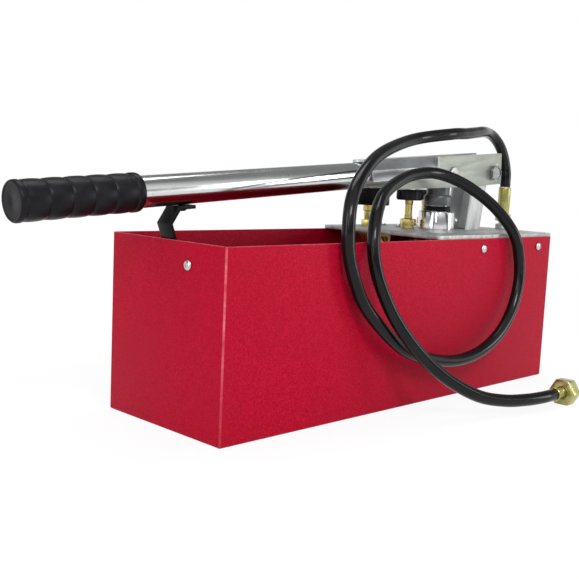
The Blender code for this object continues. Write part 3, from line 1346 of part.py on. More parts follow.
def make_grip(frame):
    """Rubber grip with shallow waves, closed at its end and open to the tube."""
    top = -(GRIP_END - GRIP_LENGTH)
    bottom = -GRIP_END
    inner = TUBE_RADIUS + CONTACT_GAP
    collar = top - GRIP_COLLAR_LENGTH
    wave_run = GRIP_LENGTH - 2 * GRIP_COLLAR_LENGTH
    profile = [
        (GRIP_RADIUS - GRIP_END_ROUND / 2, top),
        (GRIP_RADIUS, top - GRIP_END_ROUND / 2),
        (GRIP_RADIUS, collar),
    ]
    count = GRIP_WAVES * GRIP_WAVE_POINTS
    for number in range(1, count):
        share = number / count
        swell = (1 - math.cos(2 * math.pi * GRIP_WAVES * share)) / 2
        radius = GRIP_RADIUS - GRIP_WAVE_DEPTH * (1 - swell)
        profile.append((radius, collar - wave_run * share))
    profile += [
        (GRIP_RADIUS, bottom + GRIP_COLLAR_LENGTH),
        (GRIP_RADIUS, bottom + GRIP_END_ROUND),
        (GRIP_RADIUS - GRIP_END_ROUND * 0.3, bottom + GRIP_END_ROUND * 0.3),
        (GRIP_RADIUS - GRIP_END_ROUND, bottom),
        (0.0, bottom),
        (0.0, bottom + GRIP_END_WALL),
        (inner, bottom + GRIP_END_WALL),
        (inner, top),
        (GRIP_RADIUS - GRIP_END_ROUND / 2, top),
    ]
    grip = add_object("lever_grip", along_x(turned_mesh("lever_grip", profile)), "black_rubber",
                      frame)
    grip.location = (0.0, 0.0, TUBE_ABOVE_FULCRUM)
    smooth(grip)


def thick_path(points, thickness):
    """The outline of a strip of even thickness along a bent line, mitred at its bends."""
    left = []
    right = []
    half = thickness / 2
    for number, point in enumerate(points):
        here = Vector(point)
        before = (here - Vector(points[number - 1])).normalized() if number else None
        after = None
        if number < len(points) - 1:
            after = (Vector(points[number + 1]) - here).normalized()
        before = before or after
        after = after or before
        mean = (before + after).normalized()
        normal = Vector((-mean.y, mean.x))
        reach = half / max(normal.dot(Vector((-before.y, before.x))), 0.5)
        left.append(tuple(here + normal * reach))
        right.append(tuple(here - normal * reach))
    return left + list(reversed(right))


def make_strip(frame):
    """Black strip riveted under the tube, cranked over the rim and down inside the wall."""
    foot_z = TUBE_ABOVE_FULCRUM - TUBE_RADIUS - CONTACT_GAP - STRIP_THICKNESS / 2
    foot_end = -(STRIP_FOOT_START + STRIP_FOOT_LENGTH)
    bend_x = foot_end - STRIP_BEND_ALONG
    bend_z = foot_z - STRIP_BEND_DROP
    path = [
        (-STRIP_FOOT_START, foot_z),
        (foot_end, foot_z),
        (bend_x, bend_z),
        (bend_x + STRIP_LEG_BACK, bend_z - STRIP_LEG_DROP),
    ]
    outline = thick_path(path, STRIP_THICKNESS)
    strip = add_object("latch_strip", upright(outline_mesh("latch_strip", outline, STRIP_WIDTH)),
                       "black_paint", frame)
    rivet_x = -(STRIP_FOOT_START + STRIP_FOOT_LENGTH / 2)
    reach = STRIP_THICKNESS + CUT_OVERRUN
    hole = rod_mesh("hole", RIVET_RADIUS + HOLE_CLEARANCE, foot_z - reach, foot_z + reach,
                    SIDES_SMALL)
    cut(strip, [moved_mesh(hole, (rivet_x, 0.0, 0.0))])

    under = foot_z - STRIP_THICKNESS / 2 - CONTACT_GAP
    inside = TUBE_ABOVE_FULCRUM - TUBE_RADIUS + TUBE_WALL + RIVET_HEAD_HEIGHT
    profile = [
        (0.0, inside),
        (RIVET_RADIUS, inside),
        (RIVET_RADIUS, under),
        (RIVET_HEAD_RADIUS, under),
        (RIVET_HEAD_RADIUS * 0.7, under - RIVET_HEAD_HEIGHT),
        (0.0, under - RIVET_HEAD_HEIGHT),
    ]
    rivet = add_object("latch_rivet", turned_mesh("latch_rivet", profile, SIDES_SMALL),
                       "black_paint", frame)
    rivet.location = (rivet_x, 0.0, 0.0)
    smooth(rivet)


def make_fulcrum_bolt(frame):
    """Bolt and nut through the cheeks and the swing link."""
    face = CHEEK_OUTER + CONTACT_GAP
    nut_end = face + FULCRUM_NUT_HEIGHT
    tip = nut_end + FULCRUM_THREAD_PROUD
    shank = along_y(rod_mesh("fulcrum_bolt", FULCRUM_RADIUS, -face - CUT_OVERRUN, tip))
    bolt = add_object("fulcrum_bolt", shank, "bright_zinc", frame)
    head = along_y(hex_mesh("head", FULCRUM_HEAD_FLATS, -face - FULCRUM_HEAD_HEIGHT, -face,
                            math.radians(12)))
    join(bolt, [head])

    nut = add_object("fulcrum_nut", along_y(hex_mesh("fulcrum_nut", FULCRUM_HEAD_FLATS, face, nut_end)),
                     "bright_zinc", frame)
    bore = along_y(rod_mesh("bore", FULCRUM_RADIUS + HOLE_CLEARANCE, face - CUT_OVERRUN,
                            nut_end + CUT_OVERRUN))
    cut(nut, [bore])


# Swing link

def make_link():
    """Channel-shaped link that carries the fulcrum and swings under the plate."""
    frame = empty_at("link_frame", (LINK_X, 0.0, LINK_PIVOT_HEIGHT), LINK_LEAN)
    dx = FULCRUM_X - LINK_X
    dz = FULCRUM_HEIGHT - LINK_PIVOT_HEIGHT
    cosine = math.cos(LINK_LEAN)
    sine = math.sin(LINK_LEAN)
    eye_x = dx * cosine - dz * sine
    eye_z = dz * cosine + dx * sine
    half = LINK_FLANGE_HALF
    outline = [(half, eye_z * LINK_KNEE_BACK_SHARE)]
    outline += arc(eye_x, eye_z, LINK_EYE_RADIUS, math.radians(-22), math.radians(158), 12)
    outline.append((-half, eye_z * LINK_KNEE_FRONT_SHARE))
    outline += arc(0.0, 0.0, half, math.pi, 2 * math.pi, 12)
    width = 2 * LINK_HALF_WIDTH
    link = add_object("swing_link", upright(outline_mesh("swing_link", outline, width)),
                      "galvanised", frame)
    inner = LINK_HALF_WIDTH - LINK_SHEET
    web_top = eye_z * LINK_KNEE_BACK_SHARE
    web_face = half - LINK_SHEET
    far = eye_x + LINK_EYE_RADIUS + CUT_OVERRUN
    near = -half - CUT_OVERRUN
    roof = eye_z + LINK_EYE_RADIUS + CUT_OVERRUN
    bottom = -half - CUT_OVERRUN
    hollow = [
        box_mesh("hollow", (near, -inner, bottom), (web_face, inner, roof)),
        box_mesh("hollow", (near, -inner, web_top), (far, inner, roof)),
        box_mesh("hollow", (near, -inner, bottom), (far, inner, LINK_WEB_START)),
    ]
    reach = LINK_HALF_WIDTH + CUT_OVERRUN
    base_hole = along_y(rod_mesh("hole", BASE_PIN_RADIUS + HOLE_CLEARANCE, -reach, reach))
    eye_hole = along_y(rod_mesh("hole", FULCRUM_RADIUS + HOLE_CLEARANCE, -reach, reach))
    cut(link, hollow + [base_hole, moved_mesh(eye_hole, (eye_x, 0.0, eye_z))])

    side = LINK_HALF_WIDTH + LINK_SLOT_PLAY / 4 + CONTACT_GAP
    for name, sign in (("link_lug_front", -1), ("link_lug_rear", 1)):
        make_lug(name, sign, side)
    face = side + LUG_SHEET + CONTACT_GAP
    head = BASE_PIN_HEAD_RADIUS
    profile = [
        (0.0, face + BASE_PIN_HEAD_HEIGHT),
        (head, face + BASE_PIN_HEAD_HEIGHT),
        (head, face),
        (BASE_PIN_RADIUS, face),
        (BASE_PIN_RADIUS, -face),
        (head, -face),
        (head, -face - BASE_PIN_HEAD_HEIGHT),
        (0.0, -face - BASE_PIN_HEAD_HEIGHT),
    ]
    pin = add_object("link_base_pin", along_y(turned_mesh("link_base_pin", profile)), "bright_zinc")
    pin.location = (LINK_X, 0.0, LINK_PIVOT_HEIGHT)
    smooth(pin)


def make_lug(name, sign, side):
    """Angle piece welded under the plate beside the link's slot."""
    low_y, high_y = sorted((sign * side, sign * (side + LUG_SHEET)))
    leg = box_mesh(name, (LINK_X - LUG_HALF_LENGTH, low_y, LINK_PIVOT_HEIGHT - LUG_BELOW_PIVOT),
                   (LINK_X + LUG_HALF_LENGTH, high_y, UNDER_PLATE))
    lug = add_object(name, leg, "dull_zinc")
    low_y, high_y = sorted((sign * side, sign * (side + LUG_SHEET + LUG_FOOT)))
    foot = box_mesh("foot", (LINK_X - LUG_HALF_LENGTH, low_y, UNDER_PLATE - LUG_SHEET / 2),
                    (LINK_X + LUG_HALF_LENGTH, high_y, UNDER_PLATE))
    join(lug, [foot])
    reach = side + LUG_SHEET + CUT_OVERRUN
    hole = along_y(rod_mesh("hole", BASE_PIN_RADIUS + HOLE_CLEARANCE, -reach, reach))
    cut(lug, [moved_mesh(hole, (LINK_X, 0.0, LINK_PIVOT_HEIGHT))])


# Hose and fittings

def make_hose_fitting():
    """Adapter through the plate, swivel nut and crimped ferrule at the pump end."""
    hex_top = ON_PLATE + ADAPTER_HEX_HEIGHT
    neck_top = hex_top + ADAPTER_NECK_HEIGHT
    foot = DELIVERY_HEIGHT - ADAPTER_BODY_DROP / 2
    body_top = UNDER_PLATE - CONTACT_GAP
    profile = [
        (0.0, neck_top),
        (ADAPTER_NECK_RADIUS, neck_top),
        (ADAPTER_NECK_RADIUS, ON_PLATE),
        (ADAPTER_STUD_RADIUS, ON_PLATE),
        (ADAPTER_STUD_RADIUS, body_top),
        (ADAPTER_BODY_RADIUS, body_top),
        (ADAPTER_BODY_RADIUS, foot),
        (0.0, foot),
    ]
    adapter = add_object("hose_base_adapter", turned_mesh("hose_base_adapter", profile),
                         "bright_zinc")
    adapter.location = (FITTING_X, FITTING_SIDE, 0.0)
    smooth(adapter)
    join(adapter, [hex_mesh("hex", FITTING_FLATS, ON_PLATE, hex_top, math.radians(30))])
    bore = rod_mesh("bore", FITTING_BORE_RADIUS, DELIVERY_HEIGHT, neck_top + CUT_OVERRUN,
                    SIDES_SMALL)
    cut(adapter, [bore])

    swivel_bottom = neck_top + CONTACT_GAP
    swivel_top = swivel_bottom + SWIVEL_HEIGHT
    swivel = add_object("hose_swivel_nut", hex_mesh("hose_swivel_nut", FITTING_FLATS, swivel_bottom,
                                                    swivel_top, math.radians(30)), "yellow_zinc")
    swivel.location = (FITTING_X, FITTING_SIDE, 0.0)
    bore = rod_mesh("bore", FITTING_BORE_RADIUS, swivel_bottom - CUT_OVERRUN,
                    swivel_top + CUT_OVERRUN, SIDES_SMALL)
    cut(swivel, [bore])

    bottom = swivel_top + CONTACT_GAP
    top = bottom + FERRULE_LENGTH
    waist = FERRULE_RADIUS - FERRULE_WAIST
    profile = [
        (0.0, top),
        (FERRULE_RADIUS - FERRULE_CHAMFER, top),
        (FERRULE_RADIUS, top - FERRULE_CHAMFER),
        (FERRULE_RADIUS, bottom + FERRULE_LENGTH * 0.72),
        (waist, bottom + FERRULE_LENGTH * 0.62),
        (waist, bottom + FERRULE_LENGTH * 0.20),
        (FERRULE_RADIUS, bottom + FERRULE_LENGTH * 0.10),
        (FERRULE_RADIUS - FERRULE_CHAMFER, bottom),
        (0.0, bottom),
    ]
    ferrule = add_object("hose_ferrule", turned_mesh("hose_ferrule", profile), "yellow_zinc")
    ferrule.location = (FITTING_X, FITTING_SIDE, 0.0)
    smooth(ferrule)
    return top + CONTACT_GAP


def smooth_route(points, spacing):
    """Even steps along a smooth curve through the points, without the two end guides."""
    dense = []
    for number in range(1, len(points) - 2):
        p0, p1, p2, p3 = (Vector(points[number + shift]) for shift in (-1, 0, 1, 2))
        for step in range(12):
            t = step / 12
            dense.append(0.5 * (2 * p1 + (p2 - p0) * t + (2 * p0 - 5 * p1 + 4 * p2 - p3) * t ** 2
                                + (3 * p1 - p0 - 3 * p2 + p3) * t ** 3))
    dense.append(Vector(points[-2]))
    lengths = [0.0]
    for number in range(1, len(dense)):
        lengths.append(lengths[-1] + (dense[number] - dense[number - 1]).length)
    count = round(lengths[-1] / spacing)
    route = []
    place = 0
    for number in range(count + 1):
        target = lengths[-1] * number / count
        while place < len(dense) - 2 and lengths[place + 1] < target:
            place += 1
        run = lengths[place + 1] - lengths[place]
        share = (target - lengths[place]) / run
        route.append(dense[place].lerp(dense[place + 1], share))
    print("hose length, mm: %.0f in %d points" % (lengths[-1] * 1000, len(route)))
    return route


def beside_tank(x, y, z):
    """A point of the hose, moved along with the tank's pump end, front wall and plate."""
    outward = min(1.0, max(0.0, (FITTING_SIDE - y) / (FITTING_SIDE - ROUTE_FRONT_WALL)))
    upward = max(0.0, (z - END_AXIS_HEIGHT) / (ROUTE_PLATE_TOP - END_AXIS_HEIGHT))
    upward = min(1.0, upward)
    return Vector((
        x + PUMP_END_X - ROUTE_PUMP_END,
        y + outward * (FRONT_WALL_Y - ROUTE_FRONT_WALL),
        z + upward * (PLATE_TOP - ROUTE_PLATE_TOP),
    ))


def make_hose(start_height):
    """The hose's tube from the ferrule to the nipple."""
    start = Vector((FITTING_X, FITTING_SIDE, start_height))
    end = beside_tank(*HOSE_END_AT, END_AXIS_HEIGHT)
    lead_in = start + Vector((0.0, 0.0, 2 * HOSE_RADIUS))
    lead_out = end - Vector((2 * HOSE_RADIUS, 0.0, 0.0))
    points = [beside_tank(*point) for point in HOSE_ROUTE]
    middle = smooth_route([start, lead_in, *points, lead_out, end], HOSE_POINT_SPACING)
    route = [start, *middle, end]
    curve = bpy.data.curves.new("hose", "CURVE")
    curve.dimensions = "3D"
    curve.bevel_depth = HOSE_RADIUS
    curve.bevel_resolution = 3
    curve.use_fill_caps = True
    line = curve.splines.new("POLY")
    line.points.add(len(route) - 1)
    for number, point in enumerate(route):
        line.points[number].co = (*point, 1.0)
    curve_part("hose", curve, "hose_rubber")


def make_hose_end():
    """Nipple and the loose union nut that lies on the floor."""
    start = CONTACT_GAP
    ring_end = start + NIPPLE_RING_LENGTH
    neck_end = ring_end + NIPPLE_NECK_LENGTH + HOSE_END_NUT_WALL
    head_end = neck_end + NIPPLE_HEAD_LENGTH
    profile = [
        (NIPPLE_BORE_RADIUS, head_end),
        (NIPPLE_HEAD_RADIUS * 0.75, head_end),
        (NIPPLE_HEAD_RADIUS, neck_end),
        (NIPPLE_NECK_RADIUS, neck_end),
        (NIPPLE_NECK_RADIUS, ring_end),
        (NIPPLE_RING_RADIUS, ring_end),
        (NIPPLE_RING_RADIUS, start),
        (NIPPLE_BORE_RADIUS, start),
    ]
    nipple = add_object("end_nipple", along_x(turned_mesh("end_nipple", profile)), "yellow_zinc")
    nipple.location = beside_tank(*HOSE_END_AT, END_AXIS_HEIGHT)
    smooth(nipple)

    shoulder = neck_end - SWIVEL_CLEARANCE - HOSE_END_NUT_WALL
    end = shoulder + HOSE_END_NUT_LENGTH
    nut = add_object("end_nut", along_x(hex_mesh("end_nut", HOSE_END_NUT_FLATS, shoulder, end)),
                     "yellow_zinc")
    nut.location = beside_tank(*HOSE_END_AT, END_AXIS_HEIGHT)
    corner = HOSE_END_NUT_FLATS / math.sqrt(3)
    chamfer = HOSE_END_NUT_CHAMFER
    round_off = [
        (corner - chamfer, end + CUT_OVERRUN),
        (corner - chamfer, end),
        (corner + chamfer / 4, end - chamfer),
        (corner + chamfer / 4, shoulder + chamfer),
        (corner - chamfer, shoulder),
        (corner - chamfer, shoulder - CUT_OVERRUN),
        (corner + CUT_OVERRUN, shoulder - CUT_OVERRUN),
        (corner + CUT_OVERRUN, end + CUT_OVERRUN),
    ]
    rim = along_x(turned_mesh("rim", list(reversed(round_off)), SIDES_LARGE))
    socket = along_x(rod_mesh("socket", HOSE_END_NUT_BORE, shoulder + HOSE_END_NUT_WALL,
                              end + CUT_OVERRUN))
    neck = along_x(rod_mesh("neck", NIPPLE_NECK_RADIUS + SWIVEL_CLEARANCE, shoulder - CUT_OVERRUN,
                            end))
    cut(nut, [rim, socket, neck])


def build():
    """Make every part."""
    start_scene()
    make_tank()
    make_tank_fasteners()
    make_keeper()
    make_plate()
    make_brackets()
    make_cylinder()
    make_lock_screw()
    make_foot_valve()
    make_piston()
    make_block()
    make_delivery_valve()
    make_valve("shutoff", SHUTOFF_X, SHUTOFF_SIDE)
    make_valve("release", RELEASE_X, RELEASE_SIDE)
    make_gauge()
    make_pipe()
    make_lever()
    make_link()
    make_hose(make_hose_fitting())
    make_hose_end()


build()
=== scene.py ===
"""Looks of the hydrostatic test pump: tank, lever pump and pressure hose.

Everything is in metres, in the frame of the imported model. +X runs from the grip to the pump end.
The outline of a turned piece is a list of (radius, height) rings, from one end to the other.
"""

import json
import math

import bmesh
import bpy
from mathutils import Matrix, Vector


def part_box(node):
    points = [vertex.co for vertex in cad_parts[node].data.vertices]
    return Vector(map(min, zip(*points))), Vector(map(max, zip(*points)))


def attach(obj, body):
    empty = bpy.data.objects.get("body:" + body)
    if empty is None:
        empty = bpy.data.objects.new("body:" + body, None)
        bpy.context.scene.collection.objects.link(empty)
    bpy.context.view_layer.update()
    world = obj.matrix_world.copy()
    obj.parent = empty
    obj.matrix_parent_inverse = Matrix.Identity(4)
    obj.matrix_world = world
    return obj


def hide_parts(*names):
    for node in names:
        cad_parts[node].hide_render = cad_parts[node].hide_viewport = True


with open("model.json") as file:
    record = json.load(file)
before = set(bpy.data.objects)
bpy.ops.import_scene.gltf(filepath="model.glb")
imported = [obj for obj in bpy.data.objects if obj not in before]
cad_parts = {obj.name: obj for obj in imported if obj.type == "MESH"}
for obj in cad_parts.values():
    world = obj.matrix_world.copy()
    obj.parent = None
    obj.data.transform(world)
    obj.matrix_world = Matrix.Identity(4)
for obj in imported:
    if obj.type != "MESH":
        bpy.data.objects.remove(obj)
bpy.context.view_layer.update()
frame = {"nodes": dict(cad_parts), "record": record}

FULL_TURN = 2 * math.pi
QUARTER_TURN = math.pi / 2

# Turns that point a piece, made upright on the z axis, another way
TO_PUMP_END = Matrix.Rotation(QUARTER_TURN, 4, "Y")
TO_GRIP_END = Matrix.Rotation(-QUARTER_TURN, 4, "Y")
TO_FRONT = Matrix.Rotation(QUARTER_TURN, 4, "X")
TO_BACK = Matrix.Rotation(-QUARTER_TURN, 4, "X")

# Camera of the photograph
CAMERA_AT = (-0.7733, -0.6695, 0.2425)
CAMERA_RIGHT = (0.71181556, -0.70088453, 0.04560129)
CAMERA_FORWARD = (0.7000146, 0.70262662, -0.12765338)
CAMERA_LENS = 56.848
CAMERA_SENSOR = 36.0

# Tank and plate
TANK_LENGTH = 0.536
TANK_WIDTH = 0.170
TANK_HEIGHT = 0.177
TANK_SHEET = 0.0012
TANK_FOLD = 0.0022
ON_PLATE = 0.1816
PUMP_PLACE = Matrix.Translation((0.141, 0.0, 0.0))
PISTON_PIN_AT = (0.141, 0.0, 0.2505)
GAUGE_PLACE = Matrix.Translation((0.0803, 0.058, 0.0))

# Lever: its own frame stands at the fulcrum bolt
FULCRUM = (0.226, 0.0, 0.2526)
LEVER_SLOPE = math.atan(0.079)
LEVER_FRAME = Matrix.Translation(FULCRUM) @ Matrix.Rotation(-LEVER_SLOPE, 4, "Y")
TUBE_RISE = 0.0076
ON_TUBE = LEVER_FRAME @ Matrix.Translation((0.0, 0.0, TUBE_RISE)) @ TO_PUMP_END

# Widths of the rounded edges on metal heads, and the gap under a screw's head
HEAD_EDGE = 0.0002
SCREW_EDGE = 0.00012
HEAD_GAP = 0.0003
CHAMFER_SLOPE = 0.58
LATHE_CLEARANCE = 0.0003

# Points closer than this are merged, and edges flatter than this are shaded smooth
MERGE_TURNED = 0.000004
MERGE_CAD = 0.00001
SMOOTH_BELOW = math.radians(38)
FLAT_BELOW = math.radians(1.0)

# Hose and its fittings
FITTING_PLACE = Matrix.Translation((0.2585, -0.019, 0.0))
HOSE_RADIUS = 0.0066
HOSE_START = (0.2585, -0.019, 0.2355)
HOSE_END = (0.1280, -0.1820, 0.0135)
HOSE_STEP = 0.0040
HOSE_SIDES = 28
STEPS_TO_NEXT_GUIDE = 16
HOSE_ROUTE = (
    (0.2590, -0.0176, 0.2576), (0.2541, -0.0162, 0.2742), (0.2433, -0.0155, 0.2884),
    (0.2279, -0.0157, 0.2980), (0.2095, -0.0188, 0.3017), (0.1827, -0.0295, 0.3011),
    (0.1576, -0.0364, 0.2986), (0.1290, -0.0428, 0.2958), (0.0970, -0.0462, 0.2933),
    (0.0379, -0.0389, 0.2840), (-0.0310, -0.0540, 0.2675),
    (-0.0780, -0.0710, 0.2480), (-0.1090, -0.0840, 0.2250), (-0.1220, -0.0915, 0.2000),
    (-0.1230, -0.0940, 0.1710), (-0.1160, -0.0960, 0.1460), (-0.1010, -0.0980, 0.1180),
    (-0.0720, -0.1020, 0.0890), (-0.0370, -0.1040, 0.0660), (0.0070, -0.1050, 0.0525),
    (0.0520, -0.1050, 0.0465), (0.0980, -0.1045, 0.0520), (0.1360, -0.1030, 0.0685),
    (0.1630, -0.1005, 0.0930), (0.1780, -0.0980, 0.1240), (0.1785, -0.0960, 0.1520),
    (0.1675, -0.0938, 0.1810), (0.1490, -0.0775, 0.2110), (0.1200, -0.0550, 0.2360),
    (0.0800, -0.0420, 0.2480), (0.0370, -0.0420, 0.2455), (-0.0060, -0.0530, 0.2360),
    (-0.0460, -0.0690, 0.2230), (-0.0730, -0.0840, 0.2050), (-0.0855, -0.0925, 0.1830),
    (-0.0880, -0.0980, 0.1580), (-0.0825, -0.1045, 0.1320), (-0.0690, -0.1140, 0.1010),
    (-0.0460, -0.1270, 0.0690), (-0.0180, -0.1420, 0.0425), (0.0180, -0.1570, 0.0225),
    (0.0520, -0.1680, 0.0148), (0.0820, -0.1760, 0.0130), (0.1040, -0.1805, 0.0131),
)


# Camera and lamps

def place_camera():
    right, forward = Vector(CAMERA_RIGHT), Vector(CAMERA_FORWARD)
    up = right.cross(forward)
    data = bpy.data.cameras.new("camera")
    data.sensor_width = CAMERA_SENSOR
    data.lens = CAMERA_LENS
    camera = bpy.data.objects.new("camera", data)
    bpy.context.scene.collection.objects.link(camera)
    turn = Matrix((right, up, -forward)).transposed().to_4x4()
    camera.matrix_world = Matrix.Translation(CAMERA_AT) @ turn
    bpy.context.scene.camera = camera


def add_lamp(name, place, aim, size, watts):
    data = bpy.data.lights.new(name, "AREA")
    data.shape = "RECTANGLE"
    data.size, data.size_y = size
    data.energy = watts
    lamp = bpy.data.objects.new(name, data)
    bpy.context.scene.collection.objects.link(lamp)
    direction = Vector(aim) - Vector(place)
    lamp.matrix_world = (Matrix.Translation(place)
                         @ direction.to_track_quat("-Z", "Y").to_matrix().to_4x4())


place_camera()
bpy.context.scene.view_settings.view_transform = "Standard"


# Modelling by hand: what is selected, moved and extruded

def choose(*pieces):
    """Select only these pieces, in object mode, the first of them active."""
    if bpy.context.object and bpy.context.object.mode != "OBJECT":
        bpy.ops.object.mode_set(mode="OBJECT")
    bpy.ops.object.select_all(action="DESELECT")
    for piece in pieces:
        piece.select_set(True)
    if pieces:
        bpy.context.view_layer.objects.active = pieces[0]


def start_editing(piece):
    choose(piece)
    bpy.ops.object.mode_set(mode="EDIT")
    bpy.ops.mesh.select_all(action="SELECT")


def stop_editing():
    bpy.ops.object.mode_set(mode="OBJECT")


def pick(kind, test):
    """In edit mode, select the faces, edges or verts that pass the test."""
    piece = bpy.context.object
    modes = {"verts": "VERT", "edges": "EDGE", "faces": "FACE"}
    bpy.ops.mesh.select_mode(type=modes[kind])
    bpy.ops.mesh.select_all(action="DESELECT")
    cage = bmesh.from_edit_mesh(piece.data)
    for item in getattr(cage, kind):
        if test(item):
            item.select_set(True)
    bmesh.update_edit_mesh(piece.data)


def turn_outwards():
    """In edit mode, make every face point outwards."""
    bpy.ops.mesh.select_all(action="SELECT")
    bpy.ops.mesh.normals_make_consistent(inside=False)


def name_new(name):
    """Name the piece that an operator has just made, with its place in its mesh."""
    piece = bpy.context.object
    piece.name = piece.data.name = name
    bpy.ops.object.transform_apply(location=True, rotation=True, scale=True)
    return piece


def place_by(piece, matrix):
    """Put a finished piece in its place and leave its object at the origin."""
    choose(piece)
    piece.matrix_world = matrix @ piece.matrix_world
    bpy.ops.object.transform_apply(location=True, rotation=True, scale=True)
    return piece


def apply_all(piece):
    choose(piece)
    for modifier in list(piece.modifiers):
        bpy.ops.object.modifier_apply(modifier=modifier.name)


def soften(piece, width, segments=2, angle=30):
    """Round every edge sharper than the angle by that width, and shade the rest smooth."""
    if width:
        edge = piece.modifiers.new("edges", "BEVEL")
        edge.width = width
        edge.segments = segments
        edge.limit_method = "ANGLE"
        edge.angle_limit = math.radians(angle)
        edge.use_clamp_overlap = True
        apply_all(piece)
    choose(piece)
    bpy.ops.object.shade_smooth_by_angle(angle=SMOOTH_BELOW)
    return piece


def turned(name, rings, sides=72, closed=False):
    """A turned piece on the z axis: one circle extruded from ring to ring and resized.

    A closed run of rings makes a hollow ring."""
    radius, height = rings[0]
    choose()
    bpy.ops.mesh.primitive_circle_add(vertices=sides, radius=radius,
                                      fill_type="NOTHING" if closed else "NGON")
    piece = name_new(name)
    start_editing(piece)
    bpy.ops.transform.translate(value=(0.0, 0.0, height))
    extrude = bpy.ops.mesh.extrude_edges_move if closed else bpy.ops.mesh.extrude_region_move
    for next_radius, next_height in (*rings[1:], rings[0]) if closed else rings[1:]:
        extrude(TRANSFORM_OT_translate={"value": (0.0, 0.0, next_height - height)})
        share = next_radius / radius
        bpy.ops.transform.resize(value=(share, share, 1.0), center_override=(0.0, 0.0, 0.0))
        radius, height = next_radius, next_height
    bpy.ops.mesh.select_all(action="SELECT")
    bpy.ops.mesh.remove_doubles(threshold=MERGE_TURNED)
    turn_outwards()
    stop_editing()
    return piece


def block_of(name, low, high):
    """A box between two corners, to be cut and bevelled."""
    choose()
    low, high = Vector(low), Vector(high)
    bpy.ops.mesh.primitive_cube_add(size=1.0, location=(low + high) / 2, scale=high - low)
    return name_new(name)


def cut_with(piece, tools, how="DIFFERENCE"):
    """Cut a piece with tools that are then thrown away."""
    for tool in tools:
        cutter = piece.modifiers.new("cut", "BOOLEAN")
        cutter.object = tool
        cutter.operation = how
        cutter.solver = "EXACT"
        apply_all(piece)
    for tool in tools:
        bpy.data.objects.remove(tool, do_unlink=True)
    return piece


def joined(name, pieces):
    """Several solids as one piece."""
    choose(*pieces)
    bpy.ops.object.join()
    return name_new(name)


def headed(name, head, *stems):
    """A hexagon head and the turned stems on it, as one piece."""
    return joined(name, [soften(head, HEAD_EDGE), *(soften(stem, 0.0) for stem in stems)])


def copy_of(piece, name, matrix):
    twin = piece.copy()
    twin.data = piece.data.copy()
    twin.name = twin.data.name = name
    bpy.context.scene.collection.objects.link(twin)
    return place_by(twin, matrix)


def hexagon(name, flats, low, high, chamfer, turn=0.0, sides=48):
    """A hexagon head between two heights, its corners turned off at both ends.

    The turn is in degrees, and the lathe that turns the corners off has that many sides."""
    corner = flats / math.sqrt(3)
    choose()
    bpy.ops.mesh.primitive_circle_add(vertices=6, radius=corner, fill_type="NGON",
                                      rotation=(0.0, 0.0, math.radians(turn)))
    piece = name_new(name)
    start_editing(piece)
    bpy.ops.transform.translate(value=(0.0, 0.0, low))
    bpy.ops.mesh.extrude_region_move(TRANSFORM_OT_translate={"value": (0.0, 0.0, high - low)})
    turn_outwards()
    stop_editing()
    slope, outside = chamfer * CHAMFER_SLOPE, corner + LATHE_CLEARANCE
    lathe = turned("lathe", [(corner - chamfer, low), (outside, low + slope),
                             (outside, high - slope), (corner - chamfer, high)], sides)
    return cut_with(piece, [lathe], "INTERSECT")


def bored(piece, radius, low, high):
    """Bore a hole on the z axis between two heights."""
    return cut_with(piece, [turned("hole", [(radius, low), (radius, high)], 40)])


def from_cad(node, width, segments=2, angle=30, name=None):
    """The node's own shape with merged corners and rounded edges."""
    source = frame["nodes"][node]
    piece = bpy.data.objects.new(name or node + "_finished", source.data.copy())
    bpy.context.scene.collection.objects.link(piece)
    start_editing(piece)
    bpy.ops.mesh.remove_doubles(threshold=MERGE_CAD)
    bpy.ops.mesh.dissolve_limited(angle_limit=FLAT_BELOW)
    stop_editing()
    return soften(piece, width, segments, angle)


def mark_cut_edges(piece, share):
    """Store for the finish how pale each face is, 1 on a cut edge: rubbed edges and painted light.
    """
    cut = piece.data.attributes.new("pale_edge_and_painted_light", "FLOAT", "FACE")
    for face in piece.data.polygons:
        cut.data[face.index].value = float(share(face))


def wear(piece, look, body, *nodes, slot):
    """Give a piece its look, its body and the nodes that it stands for. The slot is not used."""
    piece.data.materials.clear()
    piece.data.materials.append(look)
    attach(piece, body)
    if nodes:
        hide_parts(*nodes)


def set_up(piece, place, look, body, *nodes, slot, edges=(0.0,)):
    """Round a piece's edges, put it in its place and give it all that it wears."""
    soften(piece, *edges)
    place_by(piece, place)
    wear(piece, look, body, *nodes, slot=slot)


def body_of(node):
    """The body that a node rides on."""
    for body, nodes in frame["record"]["behaviour"]["bodies"].items():
        if node in nodes:
            return body
    raise ValueError(node)


def middle_of(node):
    """The middle of a node's box."""
    low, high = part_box(node)
    return [(a + b) / 2 for a, b in zip(low, high)]


# Shader nodes

# Where a colour mix node has its share, its two colours and its result
MIX_SHARE, MIX_FIRST, MIX_SECOND, MIX_RESULT = 0, 6, 7, 2


def rgba(value):
    """A grey level or a colour with its alpha; a socket stays as it is."""
    if isinstance(value, tuple):
        return (*value, 1.0)
    if isinstance(value, (int, float)):
        return (value, value, value, 1.0)
    return value


def feed(tree, node, inputs):
    """Set each of these inputs to its constant, or link it to another node's output."""
    for place, value in inputs.items():
        if isinstance(value, bpy.types.NodeSocket):
            tree.links.new(value, node.inputs[place])
        else:
            node.inputs[place].default_value = value
    return node


def add_node(tree, kind, inputs=None):
    return feed(tree, tree.nodes.new("ShaderNode" + kind), inputs or {})


def maths_node(tree, operation, first, second, clamp=False):
    node = tree.nodes.new("ShaderNodeMath")
    node.operation = operation
    node.use_clamp = clamp
    return feed(tree, node, {0: first, 1: second}).outputs["Value"]


